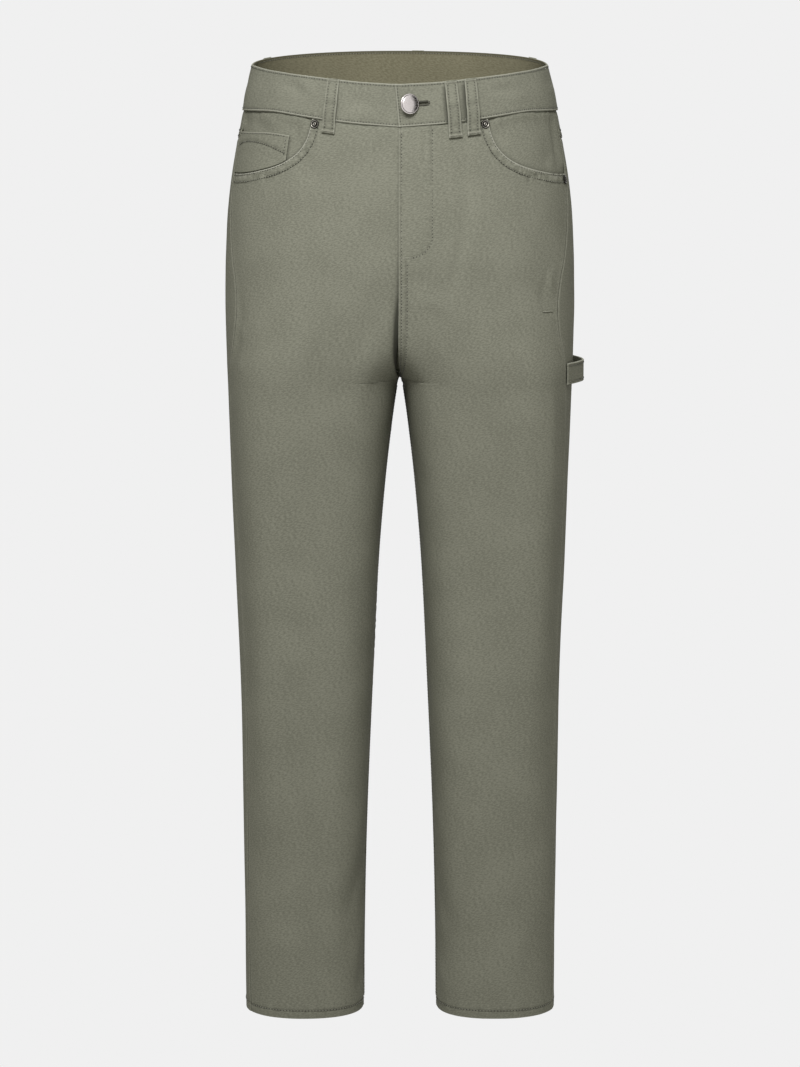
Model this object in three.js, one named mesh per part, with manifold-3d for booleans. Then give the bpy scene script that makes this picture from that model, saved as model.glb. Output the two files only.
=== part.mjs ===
// Five-pocket work trousers in cotton twill, hollow and filled out as if worn.
// Millimetres, +Z up, the front faces -Y and the wearer's left is +X.
// The origin is the middle of the waist, level with the waistband's top edge at the sides.
import * as THREE from "three";
import { mergeVertices } from "three/addons/utils/BufferGeometryUtils.js";
import Module from "manifold-3d";

// Cloth and seams
const cloth = 1.2; // a single layer of twill
const linerWall = 1.0; // the layers behind it: pocket facings and the fly's shield
const seamGap = 0.3; // between neighbouring pieces
const bandGap = 0.6; // under the waistband, whose facets differ from the panels'
const layerGap = 0.85; // between a panel and the layer under it, whose facets differ
const stepIn = cloth + layerGap; // from a panel's face to the next layer's
const hemTurn = 10; // the turned hem's height
const hemWall = 2.0; // the hem is folded double
const bandOut = 0.9; // the waistband stands this proud of the panels
const bandWall = 2.2;
const bandLapTop = 5.4; // how far its left end passes the centre front at the top
const bandLapLow = 1.4; // and at the bottom
const bandUnderlap = 0.26; // how far its right end runs on beneath, as a share of the front panel
const bandWaver = 0.35; // it waves in and out this much

// Levels, measured down the side seam from the waistband's top edge
const bandBottom = -47;
const forkLevel = -326; // where the four leg seams meet
const hemLevel = -1018; // the outseam's length
const leadStart = -252; // from here down the lines of equal share leave the centre lines
const leadEnd = -439;
const forkHeights = [0, 0.03, 0.15, 0.5, 1.2, 2.5, 4.5, 8]; // rows just over the fork, where its line turns
const tiltEnd = -262; // below this the rings lie flat
const yokeSide = -73; // the yoke seam at the side
const yokeCentre = -112; // and at the centre back

// Scooped front pocket: a full quarter ellipse about the corner of side seam and waistband
const scoopReach = 0.485; // its width, as a share of the front panel
const scoopDrop = 65.5;
const scoopSquare = 2.5; // 2 would be a plain ellipse
const facingReach = 0.55; // the panel behind it runs on under the front
const facingDrop = 77.5;

// Coin pocket on the wearer's right
const coinInner = 0.625; // its free edge, as a share of the front panel
const coinTop = -69;
const coinClear = 1.0; // between its lower edge and the scoop's
const coinSunk = 0.1; // its face lies this far under the front's

// Fly: the left front laps over a shield
const flyLevel = -186;
const flyWidth = 0.25; // as a share of the front panel
const flyProud = 0.7;
const flyFade = 20; // it settles over this height
const shieldPast = 0.05; // the shield passes the centre front by this share

// Belt and hammer loops
const loopWidth = 13;
const hammerLevel = -320.5;
const hammerWidth = 22.5;
const hammerWall = 2.0;

// Metal: the button's neck starts at the underlap, and the button leans towards the wearer's left
const buttonRadius = 10.4;
const buttonAcross = 6.3; // from the centre front
const buttonLevel = -22.8;
const buttonHeight = 7.6;
const neckRadius = 2.0;
const buttonLean = 25;
const eyeAcross = 7.3;
const eyeRadius = 3.6;
const slitLength = 21;
const slitHalf = 0.9;
const rivetRadius = 4.6;
const rivetDrop = 6.2; // from the seam or edge above it
const rivetInset = 4.2; // from the scoop's inner end
const rivetFromSeam = 6.4;

// The half garment's horizontal section at each level. outer and inner are the furthest points from and
// nearest to the centre line (inner is negative above the fork, where the two halves join), front, back and
// middle are depths, squareF and squareB shape the outer corners of the front and the back, squareIn the
// inner ones, and turnLeft and turnRight are how far forward the side seams sit, in degrees.
const sections = namedRows(
  ["level", "outer", "inner", "front", "back", "middle", "squareF", "squareB", "squareIn", "turnLeft", "turnRight"],
  [
    [20, 152.5, -152.5, -111, 112, 2, 2.1, 2.1, 2.1, 10, 10],
    [0, 154.6, -154.6, -112, 113, 2, 2.1, 2.1, 2.1, 10, 10],
    [-26, 161.0, -161.0, -114, 116, 2, 2.1, 2.1, 2.1, 10, 10],
    [-47, 164.6, -163.4, -116, 119, 2, 2.1, 2.1, 2.1, 9, 9],
    [-105, 175.7, -166.0, -120, 131, 4, 2.15, 2.15, 2.15, 10, 9],
    [-150, 181.5, -160.0, -122, 138, 5, 2.2, 2.2, 2.2, 14, 12],
    [-194, 184.0, -142.0, -122, 141, 6, 2.3, 2.25, 2.3, 21, 18],
    [-226, 184.8, -124, -120, 141, 8, 2.35, 2.3, 2.5, 28, 24],
    [-252, 185.0, -100, -118, 138, 9, 2.4, 2.3, 2.7, 33, 28],
    [-278, 184.7, -67, -115, 132, 10, 2.45, 2.3, 2.9, 36, 30],
    [-303, 184.2, -27, -112, 125, 11, 2.5, 2.35, 3.1, 38, 31],
    [-315, 183.9, -10.5, -110, 121, 10, 2.5, 2.35, 3.2, 39, 30],
    [-326, 183.5, 0, -108, 119, 10, 2.5, 2.35, 3.2, 39, 30],
    [-331, 183.3, 2.1, -107, 118, 10, 2.5, 2.35, 3.2, 39, 30],
    [-345, 182.8, 4.6, -105, 115, 10, 2.55, 2.4, 3.2, 38, 28],
    [-375, 181.7, 8.9, -102, 110, 8, 2.6, 2.4, 3.1, 36, 26],
    [-439, 179.4, 16.3, -94, 99, 5, 2.6, 2.4, 2.9, 31, 27],
    [-526, 176.3, 23.5, -84, 88, 3, 2.6, 2.4, 2.7, 28, 29],
    [-656, 171.8, 29.9, -73, 80, 4, 2.5, 2.35, 2.6, 26, 30],
    [-800, 169.8, 36.0, -63, 75, 7, 2.4, 2.3, 2.5, 24, 29],
    [-920, 168.6, 38.9, -55, 70, 8, 2.3, 2.3, 2.4, 22, 27],
    [-1018, 168.2, 39.6, -51, 67, 8, 2.2, 2.2, 2.3, 21, 27],
  ],
);

// How far a ring dips at the centre front and rises at the centre back. edge says which shape its dip has,
// from 1, the top edge's, to 0, the one of the waistband's lower seam.
const tilts = namedRows(
  ["level", "frontDip", "edge", "backRise"],
  [
    [20, 20, 1, 14.3],
    [0, 19.4, 1, 15],
    [-47, 15.6, 0, 16],
    [-110, 12, 0, 14],
    [-200, 4, 0, 7],
    [-262, 0, 0, 0],
    [-1018, 0, 0, 0],
  ],
);

// The share of that dip at each distance from the centre, which counts down from 1 at the sides
const dipShapes = namedRows(
  ["level", "top", "bottom"],
  [
    [1, 0, 0],
    [0.9, 0.22, 0.01],
    [0.8, 0.36, 0.03],
    [0.7, 0.48, 0.17],
    [0.6, 0.58, 0.34],
    [0.5, 0.68, 0.5],
    [0.4, 0.77, 0.64],
    [0.25, 0.89, 0.81],
    [0, 1, 1],
  ],
);

// Large soft folds. side is 1 for the wearer's left and -1 for the right, a fold runs straight from one angle
// and level to the other, an angle is measured round the leg from the inside through the front, and height is
// how far its middle stands out.
const folds = namedRows(
  ["side", "angleTop", "levelTop", "angleEnd", "levelEnd", "halfWidth", "height"],
  [
    [-1, 121, -250, 118, -840, 20, 3.0],
    [-1, 146, -270, 144, -860, 20, -3.0],
    [-1, 62, -330, 92, -620, 26, -2.2],
    [-1, 74, -700, 52, -1010, 18, 2.4],
    [-1, 100, -640, 84, -1000, 20, -1.8],
    [1, 124, -250, 116, -830, 20, 3.0],
    [1, 148, -260, 142, -860, 20, -3.2],
    [1, 88, -330, 74, -640, 24, -2.4],
    [1, 56, -560, 50, -1000, 18, 2.0],
    [-1, 236, -330, 240, -760, 26, 3.0],
    [-1, 285, -330, 292, -560, 24, 2.6],
    [-1, 262, -420, 264, -880, 26, -2.4],
    [1, 234, -340, 238, -780, 26, 3.0],
    [1, 287, -330, 290, -540, 24, 2.6],
    [1, 260, -400, 266, -860, 26, -2.4],
  ],
);

// Belt loops: where the middle lies round the waist, in the ring coordinate explained at ringPlace, and how
// many millimetres the foot leans along the ring and hangs below the common one
const beltLoops = namedRows(
  ["name", "place", "lean", "longer"],
  [
    ["front_right", -0.412, -0.4, 2],
    ["front_left_inner", 0.317, 1.2, 4.5],
    ["front_left_outer", 0.434, -1.6, 4],
    ["back_right", -1.3, 0, 2],
    ["back_left", 1.3, 0, 2],
    ["back_centre", 1.9, 0, 2],
  ],
);

// A belt loop from its top to its folded foot: how far its inner face stands off the panels, and its wall
const loopRows = namedRows(
  ["level", "standOff", "wall"],
  [
    [0.3, 1.3, 1.5],
    [-5, 1.4, 1.5],
    [-12, 3.0, 1.5],
    [-22, 4.4, 1.5],
    [-33, 4.5, 1.5],
    [-42, 3.2, 1.5],
    [-50, 1.0, 1.6],
    [-53, 0.4, 2.4],
    [-59, 0.4, 2.4],
  ],
);

// The hammer loop's route, from the side seam round to the back panel: out is how far its inner face stands
// off the panels
const hammerRows = namedRows(
  ["share", "out"],
  [
    [1.005, 0.5],
    [1.063, 3.2],
    [1.127, 7.0],
    [1.19, 9.7],
    [1.222, 9.9],
    [1.267, 8.8],
    [1.33, 5.8],
    [1.393, 2.6],
    [1.444, 0.5],
  ],
);

// Turns rows of bare numbers into objects with named columns.
function namedRows(names, rows) {
  return rows.map((row) => Object.fromEntries(names.map((name, i) => [name, row[i]])));
}

const radians = THREE.MathUtils.degToRad;
const mix = THREE.MathUtils.lerp;
const clamp = THREE.MathUtils.clamp;

// A smooth curve through one column of a table whose levels fall from row to row.
function column(table, name, level) {
  const last = table.length - 1;
  let i = 0;
  while (i < last - 1 && level < table[i + 1].level) i += 1;
  const slope = (k) => {
    const a = table[Math.max(k - 1, 0)];
    const b = table[Math.min(k + 1, last)];
    return (b[name] - a[name]) / (b.level - a.level);
  };
  const span = table[i + 1].level - table[i].level;
  const t = clamp((level - table[i].level) / span, 0, 1);
  const fromStart = table[i][name] * (1 + 2 * t) * (1 - t) ** 2 + slope(i) * span * t * (1 - t) ** 2;
  const fromEnd = table[i + 1][name] * t * t * (3 - 2 * t) + slope(i + 1) * span * t * t * (t - 1);
  return fromStart + fromEnd;
}

// The shape of a section at a level.
function outline(level) {
  const s = {};
  for (const name of ["outer", "inner", "front", "back", "middle", "squareF", "squareB", "squareIn"])
    s[name] = column(sections, name, level);
  s.centre = (s.outer + s.inner) / 2;
  s.half = (s.outer - s.inner) / 2;
  return s;
}

// How far round from the inside the centre line cuts the front and the back, 0 under the fork.
function cutAngles(s) {
  if (s.inner >= 0) return [0, 0];
  const cut = clamp(s.centre / s.half, 0, 1);
  const reach = Math.max(0, 1 - cut ** s.squareIn) ** (1 / s.squareIn);
  return [s.middle - s.front, s.back - s.middle].map((depth) => Math.atan2(depth * reach, s.centre));
}

// The angle for a share of a panel: 0 to 1 crosses the front and 1 to 2 the back. Lines of equal share run
// on past the fork as though the centre lines faded out slowly, and bend only close to the inseams.
function angleAt(side, share, level) {
  const seam = Math.PI - radians(column(sections, side > 0 ? "turnLeft" : "turnRight", level));
  const half = share <= 1 ? 0 : 1;
  const cut = cutAngles(outline(level))[half];
  const fade = THREE.MathUtils.smoothstep(level, leadEnd, leadStart);
  const lead = level > leadStart ? cut : cutAngles(outline(leadStart))[half] * fade;
  const inside = half ? share - 1 : 1 - share;
  const shift = (cut - lead) * inside ** 3;
  return half ? mix(seam, 2 * Math.PI - lead, inside) - shift : mix(seam, lead, inside) + shift;
}

// A point of one half's smooth surface. side is 1 for the wearer's left and -1 for the right.
function sectionPoint(side, angle, level) {
  const s = outline(level);
  const atFront = Math.sin(angle) > 0;
  const depth = atFront ? s.middle - s.front : s.back - s.middle;
  const power = Math.cos(angle) > 0 ? s.squareIn : atFront ? s.squareF : s.squareB;
  const sum = Math.abs(Math.cos(angle) / s.half) ** power + Math.abs(Math.sin(angle) / depth) ** power;
  const radius = sum ** (-1 / power);
  const x = s.centre - radius * Math.cos(angle);
  const y = s.middle - radius * Math.sin(angle);
  if (level <= tiltEnd) return new THREE.Vector3(side * x, y, level);
  const across = clamp(Math.abs(x) / s.outer, 0, 1);
  const [low, high] = [column(dipShapes, "bottom", across), column(dipShapes, "top", across)];
  const shape = mix(low, high, column(tilts, "edge", level));
  const rise = column(tilts, "backRise", level) * (Math.abs(y - s.middle) / depth) ** 0.97;
  const lift = atFront ? -column(tilts, "frontDip", level) * shape : rise;
  return new THREE.Vector3(side * x, y, level + lift);
}

function smoothPoint(side, share, level) {
  return sectionPoint(side, angleAt(side, share, level), level);
}

function smoothNormal(side, share, level) {
  const angle = angleAt(side, share, level);
  const at = (turn, rise) => sectionPoint(side, angle + turn, level + rise);
  const du = at(0.004, 0).sub(at(-0.004, 0));
  const dv = at(0, 0.6).sub(at(0, -0.6));
  return du.cross(dv).multiplyScalar(side).normalize();
}

// How far the folds move the cloth out at a place.
function foldHeight(side, share, level) {
  const angle = THREE.MathUtils.radToDeg(angleAt(side, share, level));
  let height = 0;
  for (const fold of folds) {
    if (fold.side !== side) continue;
    const t = (fold.levelTop - level) / (fold.levelTop - fold.levelEnd);
    if (t <= 0 || t >= 1) continue;
    const away = (angle - mix(fold.angleTop, fold.angleEnd, t)) / fold.halfWidth;
    const fade = Math.sin(Math.PI * t) ** 0.8;
    height += fold.height * Math.exp(-away * away) * fade;
  }
  return height;
}

// The left front laps over the right, so its edge stands a little proud down the fly.
function flyLap(share, level) {
  if (share > flyWidth || level < flyLevel) return 0;
  return flyProud * (1 - share / flyWidth) * clamp((level - flyLevel) / flyFade, 0, 1);
}

// The finished surface, moved out by an offset.
function clothPoint(side, share, level, offset = 0) {
  const out = offset + foldHeight(side, share, level);
  return smoothPoint(side, share, level).addScaledVector(smoothNormal(side, share, level), out);
}

// A ring coordinate runs from -2 at the centre back, through -1 at the right seam, 0 at the centre front and
// 1 at the left seam, to 2 at the centre back again, and carries on past either end.
function ringPlace(place) {
  const turned = THREE.MathUtils.euclideanModulo(place + 2, 4) - 2;
  return turned < 0 ? [-1, -turned] : [1, turned];
}

function ringPoint(place, level, offset) {
  const [side, share] = ringPlace(place);
  return clothPoint(side, share, level, offset);
}

// Millimetres of cloth for one unit of share at a place.
function shareLength(share, level) {
  return smoothPoint(1, share + 0.01, level).distanceTo(smoothPoint(1, share - 0.01, level)) / 0.02;
}

// A closed wall between an outer and an inner grid of points, each grid[row][column].
function wall(outer, inner) {
  const rows = outer.length;
  const columns = outer[0].length;
  const positions = [];
  const triangle = (a, b, c) => positions.push(...a.toArray(), ...b.toArray(), ...c.toArray());
  const quad = (a, b, c, d) => {
    triangle(a, b, c);
    triangle(a, c, d);
  };
  for (let r = 0; r < rows - 1; r += 1) {
    for (let c = 0; c < columns - 1; c += 1) {
      quad(outer[r][c], outer[r][c + 1], outer[r + 1][c + 1], outer[r + 1][c]);
      quad(inner[r][c], inner[r + 1][c], inner[r + 1][c + 1], inner[r][c + 1]);
    }
    quad(outer[r][0], outer[r + 1][0], inner[r + 1][0], inner[r][0]);
    const e = columns - 1;
    quad(outer[r][e], inner[r][e], inner[r + 1][e], outer[r + 1][e]);
  }
  const top = rows - 1;
  for (let c = 0; c < columns - 1; c += 1) {
    quad(outer[0][c], inner[0][c], inner[0][c + 1], outer[0][c + 1]);
    quad(outer[top][c], outer[top][c + 1], inner[top][c + 1], inner[top][c]);
  }
  return facingOut(positions);
}

// Merges a soup of triangles and turns it so that its faces point out.
function facingOut(positions) {
  const soup = new THREE.BufferGeometry();
  soup.setAttribute("position", new THREE.Float32BufferAttribute(positions, 3));
  const merged = mergeVertices(soup, 1e-3);
  const index = merged.index.array;
  const p = merged.attributes.position;
  const [a, b, c] = [new THREE.Vector3(), new THREE.Vector3(), new THREE.Vector3()];
  const kept = [];
  let volume = 0;
  for (let i = 0; i < index.length; i += 3) {
    const [i0, i1, i2] = [index[i], index[i + 1], index[i + 2]];
    if (i0 === i1 || i1 === i2 || i2 === i0) continue;
    kept.push(i0, i1, i2);
    a.fromBufferAttribute(p, i0);
    b.fromBufferAttribute(p, i1);
    c.fromBufferAttribute(p, i2);
    volume += a.dot(b.cross(c));
  }
  if (volume < 0) kept.reverse();
  merged.setIndex(kept);
  return merged;
}

// A panel whose rows each give a start and an end place as [share, level]. outerAt gives its outer face's
// offset and wallAt its thickness.
function panel(side, rows, columns, outerAt, wallAt) {
  const grid = (offsetAt) =>
    rows.map(([start, end]) =>
      Array.from({ length: columns + 1 }, (_, c) => {
        const share = mix(start[0], end[0], c / columns);
        const level = mix(start[1], end[1], c / columns);
        return clothPoint(side, share, level, offsetAt(share, level));
      }),
    );
  return wall(
    grid(outerAt),
    grid((share, level) => outerAt(share, level) - wallAt(share, level)),
  );
}

// Levels from the hem to a top level: long steps down the legs and short ones where the cloth forks.
function levelsUpTo(top) {
  const [shortest, longest, growth] = [7, 52, 0.24];
  const levels = [hemLevel, hemLevel + hemTurn, hemLevel + hemTurn + 1];
  let next = levels.at(-1);
  while (next < top - shortest / 2) {
    if (next > levels.at(-1)) levels.push(next);
    next += clamp(growth * Math.abs(next + shortest - forkLevel), shortest, longest);
  }
  const close = forkHeights.map((height) => forkLevel + height);
  const away = levels.filter((level) => level < forkLevel - 3 || level > close.at(-1) + 3);
  return [...away, ...close, top].sort((a, b) => a - b);
}

const panelColumns = 12;
const legWall = (share, level) => (level <= hemLevel + hemTurn ? hemWall : cloth);
const even = (value) => () => value;

// Half a seam gap, as a share of the panel there.
function seamShare(share, level) {
  return seamGap / 2 / shareLength(share, level);
}

function centreShare(level) {
  return seamShare(0.01, level);
}

// The pocket's edge, from the side seam at 0 to the waistband at 1.
function scoopPlace(t, reach, drop) {
  const angle = (Math.PI / 2) * (1 - t);
  const fuller = (value) => value ** (2 / scoopSquare);
  return [1 - reach * fuller(Math.cos(angle)), bandBottom - drop * fuller(Math.sin(angle))];
}

// Below the pocket a front panel runs from the centre to the side seam, and above it to the pocket's edge.
function frontPanel(side) {
  const pocketLow = bandBottom - scoopDrop;
  const rows = levelsUpTo(pocketLow - 8).map((level) => [
    [centreShare(level), level],
    [1 - seamShare(1, level), level],
  ]);
  const steps = 10;
  const top = bandBottom - bandGap;
  for (let i = 0; i <= steps; i += 1) {
    const [share, level] = scoopPlace(i / steps, scoopReach, scoopDrop);
    const centreLevel = mix(pocketLow, top, i / steps);
    rows.push([
      [centreShare(centreLevel), centreLevel],
      [share - seamShare(1, level), Math.min(level, top)],
    ]);
  }
  return panel(side, rows, panelColumns, side > 0 ? flyLap : even(0), legWall);
}

// A back panel's upper rows turn from level to the slope of the yoke seam, which falls towards the back.
function backPanel(side) {
  const lastLevelRow = -150;
  const rows = levelsUpTo(lastLevelRow).map((level) => [
    [1 + seamShare(1, level), level],
    [2 - centreShare(level), level],
  ]);
  const steps = 4;
  for (let i = 1; i <= steps; i += 1) {
    const seamLevel = mix(lastLevelRow, yokeSide - seamGap, i / steps);
    const centreLevel = mix(lastLevelRow, yokeCentre - seamGap, i / steps);
    rows.push([
      [1 + seamShare(1, seamLevel), seamLevel],
      [2 - centreShare(centreLevel), centreLevel],
    ]);
  }
  return panel(side, rows, panelColumns, even(0), legWall);
}

function yoke(side) {
  const steps = 3;
  const rows = [];
  for (let i = 0; i <= steps; i += 1) {
    const sideLevel = mix(yokeSide, bandBottom - bandGap, i / steps);
    const centreLevel = mix(yokeCentre, bandBottom - bandGap, i / steps);
    rows.push([
      [1 + seamShare(1, sideLevel), sideLevel],
      [2 - centreShare(centreLevel), centreLevel],
    ]);
  }
  return panel(side, rows, panelColumns, even(0), even(cloth));
}

// The panel seen inside the pocket's scoop lies one layer under the front.
function pocketFacing(side) {
  const steps = 9;
  const rows = [];
  for (let i = 1; i <= steps; i += 1) {
    const [share, level] = scoopPlace(i / steps, facingReach, facingDrop);
    const bounded = Math.min(level, bandBottom - bandGap);
    rows.push([
      [share, bounded],
      [1 - seamShare(1, bounded), bounded],
    ]);
  }
  return panel(side, rows, 10, even(-stepIn), even(linerWall));
}

// The level of the pocket's edge at a share of the front panel.
function scoopLevel(share) {
  const along = (1 - share) / scoopReach;
  return bandBottom - scoopDrop * (1 - along ** scoopSquare) ** (1 / scoopSquare);
}

// The coin pocket lies on the right facing and ends at the scoop.
function coinPocket() {
  const rows = 5;
  const columns = 8;
  const grid = (offset) =>
    Array.from({ length: rows + 1 }, (_, r) =>
      Array.from({ length: columns + 1 }, (_, c) => {
        const share = mix(coinInner, 1 - seamShare(1, coinTop), c / columns);
        const low = scoopLevel(share) + coinClear;
        return clothPoint(-1, share, mix(low, coinTop, r / rows), offset);
      }),
    );
  return wall(grid(-coinSunk), grid(seamGap - stepIn));
}

// The fly's underlap closes the gap behind the lapped edge.
function flyShield() {
  const rows = 7;
  const columns = 6;
  const low = flyLevel + 4;
  const grid = (offset) =>
    Array.from({ length: rows + 1 }, (_, r) =>
      Array.from({ length: columns + 1 }, (_, c) => {
        const level = mix(low, bandBottom - bandGap, r / rows);
        return ringPoint(mix(-shieldPast, flyWidth, c / columns), level, offset);
      }),
    );
  return wall(grid(-stepIn), grid(-stepIn - linerWall));
}

// The ring place of a point that lies some millimetres from the centre front.
function frontPlace(across) {
  return across / shareLength(0.04, -24);
}

// The waistband is one strip: its left end laps over the front, and its right end runs on beneath it.
function waistband() {
  const columns = 68;
  const levels = [bandBottom, -31, -16, 0];
  const [tuckStart, tuckLength] = [3.84, 0.1]; // ring places between which the right end goes under
  const grid = (inside) =>
    levels.map((level) => {
      const start = frontPlace(-mix(bandLapTop, bandLapLow, level / bandBottom));
      return Array.from({ length: columns + 1 }, (_, c) => {
        const place = mix(start, 4 + bandUnderlap, c / columns);
        const tuck = THREE.MathUtils.smoothstep(place, tuckStart, tuckStart + tuckLength);
        const under = (bandWall + 2 * seamGap) * tuck;
        const waver = bandWaver * Math.sin(9.5 * place + 0.05 * level);
        return ringPoint(place, level, bandOut - under + waver - (inside ? bandWall : 0));
      });
    });
  return wall(grid(false), grid(true));
}

// A closed prism on the cloth, from an outline of [ring place, level] points between two offsets.
function clothPrism(outline, low, high) {
  const flat = outline.map(([place, level]) => new THREE.Vector2(place / frontPlace(1), level));
  const faces = THREE.ShapeUtils.triangulateShape(flat, []);
  const at = (i, offset) => ringPoint(outline[i][0], outline[i][1], offset);
  const positions = [];
  const triangle = (a, b, c) => positions.push(...a.toArray(), ...b.toArray(), ...c.toArray());
  for (const [a, b, c] of faces) {
    triangle(at(a, high), at(b, high), at(c, high));
    triangle(at(a, low), at(c, low), at(b, low));
  }
  for (let i = 0; i < outline.length; i += 1) {
    const j = (i + 1) % outline.length;
    triangle(at(i, high), at(i, low), at(j, low));
    triangle(at(i, high), at(j, low), at(j, high));
  }
  return facingOut(positions);
}

// The keyhole buttonhole: a round eye at the button's neck and a slit towards the wearer's left.
function keyhole() {
  const outline = [];
  const open = Math.asin(slitHalf / eyeRadius);
  const steps = 12;
  for (let i = 0; i <= steps; i += 1) {
    const angle = mix(open, 2 * Math.PI - open, i / steps);
    const across = eyeAcross + eyeRadius * Math.cos(angle);
    outline.push([frontPlace(across), buttonLevel + eyeRadius * Math.sin(angle)]);
  }
  const end = frontPlace(eyeAcross + slitLength);
  outline.push([end, buttonLevel - slitHalf], [end, buttonLevel + slitHalf]);
  const [under, over] = [0.5, 3]; // it starts in the gap above the underlap and ends outside
  return clothPrism(outline, bandOut - bandWall - under, bandOut + over);
}

function toSolid(wasm, geometry) {
  const bare = mergeVertices(geometry, 1e-3);
  return new wasm.Manifold(
    new wasm.Mesh({
      numProp: 3,
      vertProperties: new Float32Array(bare.attributes.position.array),
      triVerts: new Uint32Array(bare.index.array),
    }),
  );
}

function fromSolid(solid) {
  const mesh = solid.getMesh();
  const geometry = new THREE.BufferGeometry();
  geometry.setAttribute("position", new THREE.BufferAttribute(mesh.vertProperties, 3));
  geometry.setIndex(new THREE.BufferAttribute(mesh.triVerts, 1));
  return geometry;
}

// A belt loop lies on the band at both ends and bows out between, so that a belt passes behind it.
function beltLoop({ place, lean, longer }) {
  const [, share] = ringPlace(place);
  const oneMillimetre = 1 / shareLength(share, -20);
  const columns = 2;
  const foot = loopRows.at(-1).level;
  const grid = (inside) =>
    [...loopRows].reverse().map((row) =>
      Array.from({ length: columns + 1 }, (_, c) => {
        const down = clamp(row.level / foot, 0, 1);
        const across = loopWidth * (c / columns - 0.5) + lean * down;
        const offset = row.standOff + (inside ? 0 : row.wall);
        return ringPoint(place + across * oneMillimetre, row.level - longer * down, offset);
      }),
    );
  return wall(grid(false), grid(true));
}

// The hammer loop leaves the left side seam, folds where it stands out furthest and comes back to the panel.
function hammerLoop() {
  const at = ({ share, out }) => clothPoint(1, share, hammerLevel, out);
  const route = new THREE.CatmullRomCurve3(hammerRows.map(at), false, "centripetal");
  const steps = 20;
  const grid = (offset) =>
    [-1, 0, 1].map((height) =>
      Array.from({ length: steps + 1 }, (_, i) => {
        const along = route.getTangent(i / steps);
        const out = new THREE.Vector3(along.y, -along.x, 0).normalize();
        const p = route.getPoint(i / steps).addScaledVector(out, offset);
        p.z += (height * hammerWidth) / 2;
        return p;
      }),
    );
  return wall(grid(hammerWall), grid(0));
}

// A turned metal piece standing on the cloth: a profile of [radius, height] points, with +Z out of the cloth.
function turned(profile, segments) {
  const geometry = new THREE.LatheGeometry(
    profile.map(([r, z]) => new THREE.Vector2(r, z)),
    segments,
  );
  geometry.rotateX(Math.PI / 2);
  geometry.deleteAttribute("normal");
  geometry.deleteAttribute("uv");
  return facingOut(geometry.toNonIndexed().attributes.position.array);
}

const rivetProfile = [
  [0, 0],
  [rivetRadius, 0],
  [rivetRadius, 0.5],
  [rivetRadius - 0.9, 1.2],
  [2.3, 0.9],
  [1.6, 1.5],
  [0, 1.7],
];

const neckFoot = neckRadius * Math.sin(radians(buttonLean));
const buttonProfile = [
  [0, neckFoot],
  [neckRadius, neckFoot],
  [neckRadius, buttonHeight],
  [buttonRadius - 0.8, buttonHeight + 0.1],
  [buttonRadius, buttonHeight + 0.8],
  [buttonRadius - 0.3, buttonHeight + 1.7],
  [buttonRadius - 1.5, buttonHeight + 2.2],
  [buttonRadius - 4, buttonHeight + 2.5],
  [0, buttonHeight + 2.7],
];

const tackProfile = [
  [0, 0],
  [4.4, 0],
  [4.4, 0.6],
  [3.2, 1.2],
  [0, 1.3],
];

// Materials
const twill = new THREE.MeshStandardMaterial({ color: 0x86877a, roughness: 0.92, metalness: 0 });
const nickel = new THREE.MeshStandardMaterial({ color: 0xd2ccc8, roughness: 0.28, metalness: 1 });
const darkMetal = new THREE.MeshStandardMaterial({ color: 0x57564f, roughness: 0.4, metalness: 1 });

const trousers = new THREE.Group();

function add(name, geometry, material = twill) {
  const mesh = new THREE.Mesh(geometry, material);
  geometry.computeVertexNormals();
  mesh.name = name;
  trousers.add(mesh);
  return mesh;
}

// Stands a piece on the cloth with its own +Z along the normal.
function standOn(mesh, side, share, level, offset) {
  mesh.position.copy(clothPoint(side, share, level, offset));
  const normal = smoothNormal(side, share, level);
  mesh.quaternion.setFromUnitVectors(new THREE.Vector3(0, 0, 1), normal);
}

// One rivet stands at the inner end of each pocket's edge, and a third at the left one's outer end.
function addRivets() {
  const pocketLow = bandBottom - scoopDrop;
  const innerShare = 1 - scoopReach - rivetInset / shareLength(1 - scoopReach, bandBottom);
  const outerShare = 1 - rivetFromSeam / shareLength(1, pocketLow);
  const rivets = namedRows(
    ["name", "side", "share", "level"],
    [
      ["inner_left", 1, innerShare, bandBottom - rivetDrop],
      ["inner_right", -1, innerShare, bandBottom - rivetDrop],
      ["outer_left", 1, outerShare, pocketLow - rivetDrop],
    ],
  );
  for (const { name, side, share, level } of rivets)
    standOn(add(`pocket_rivet_${name}`, turned(rivetProfile, 12), darkMetal), side, share, level, seamGap);
}

function addButton() {
  const [side, share] = ringPlace(frontPlace(buttonAcross));
  const underlapFace = bandOut - bandWall - 2 * seamGap;
  const button = add("button", turned(buttonProfile, 24), nickel);
  standOn(button, side, share, buttonLevel, underlapFace + seamGap);
  button.rotateOnWorldAxis(new THREE.Vector3(0, 0, 1), radians(buttonLean));
  const tack = add("button_tack", turned(tackProfile, 12), darkMetal);
  standOn(tack, side, share, buttonLevel, underlapFace - bandWall - seamGap);
  tack.rotateX(Math.PI);
}

const wasm = await Module();
wasm.setup();

for (const [side, word] of [[1, "left"], [-1, "right"]]) {
  add(`front_panel_${word}`, frontPanel(side));
  add(`back_panel_${word}`, backPanel(side));
  add(`yoke_${word}`, yoke(side));
  add(`pocket_facing_${word}`, pocketFacing(side));
}
add("coin_pocket", coinPocket());
add("fly_shield", flyShield());
add("waistband", fromSolid(toSolid(wasm, waistband()).subtract(toSolid(wasm, keyhole()))));
for (const loop of beltLoops) add(`belt_loop_${loop.name}`, beltLoop(loop));
add("hammer_loop", hammerLoop());
addRivets();
addButton();

export default trousers;
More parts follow.
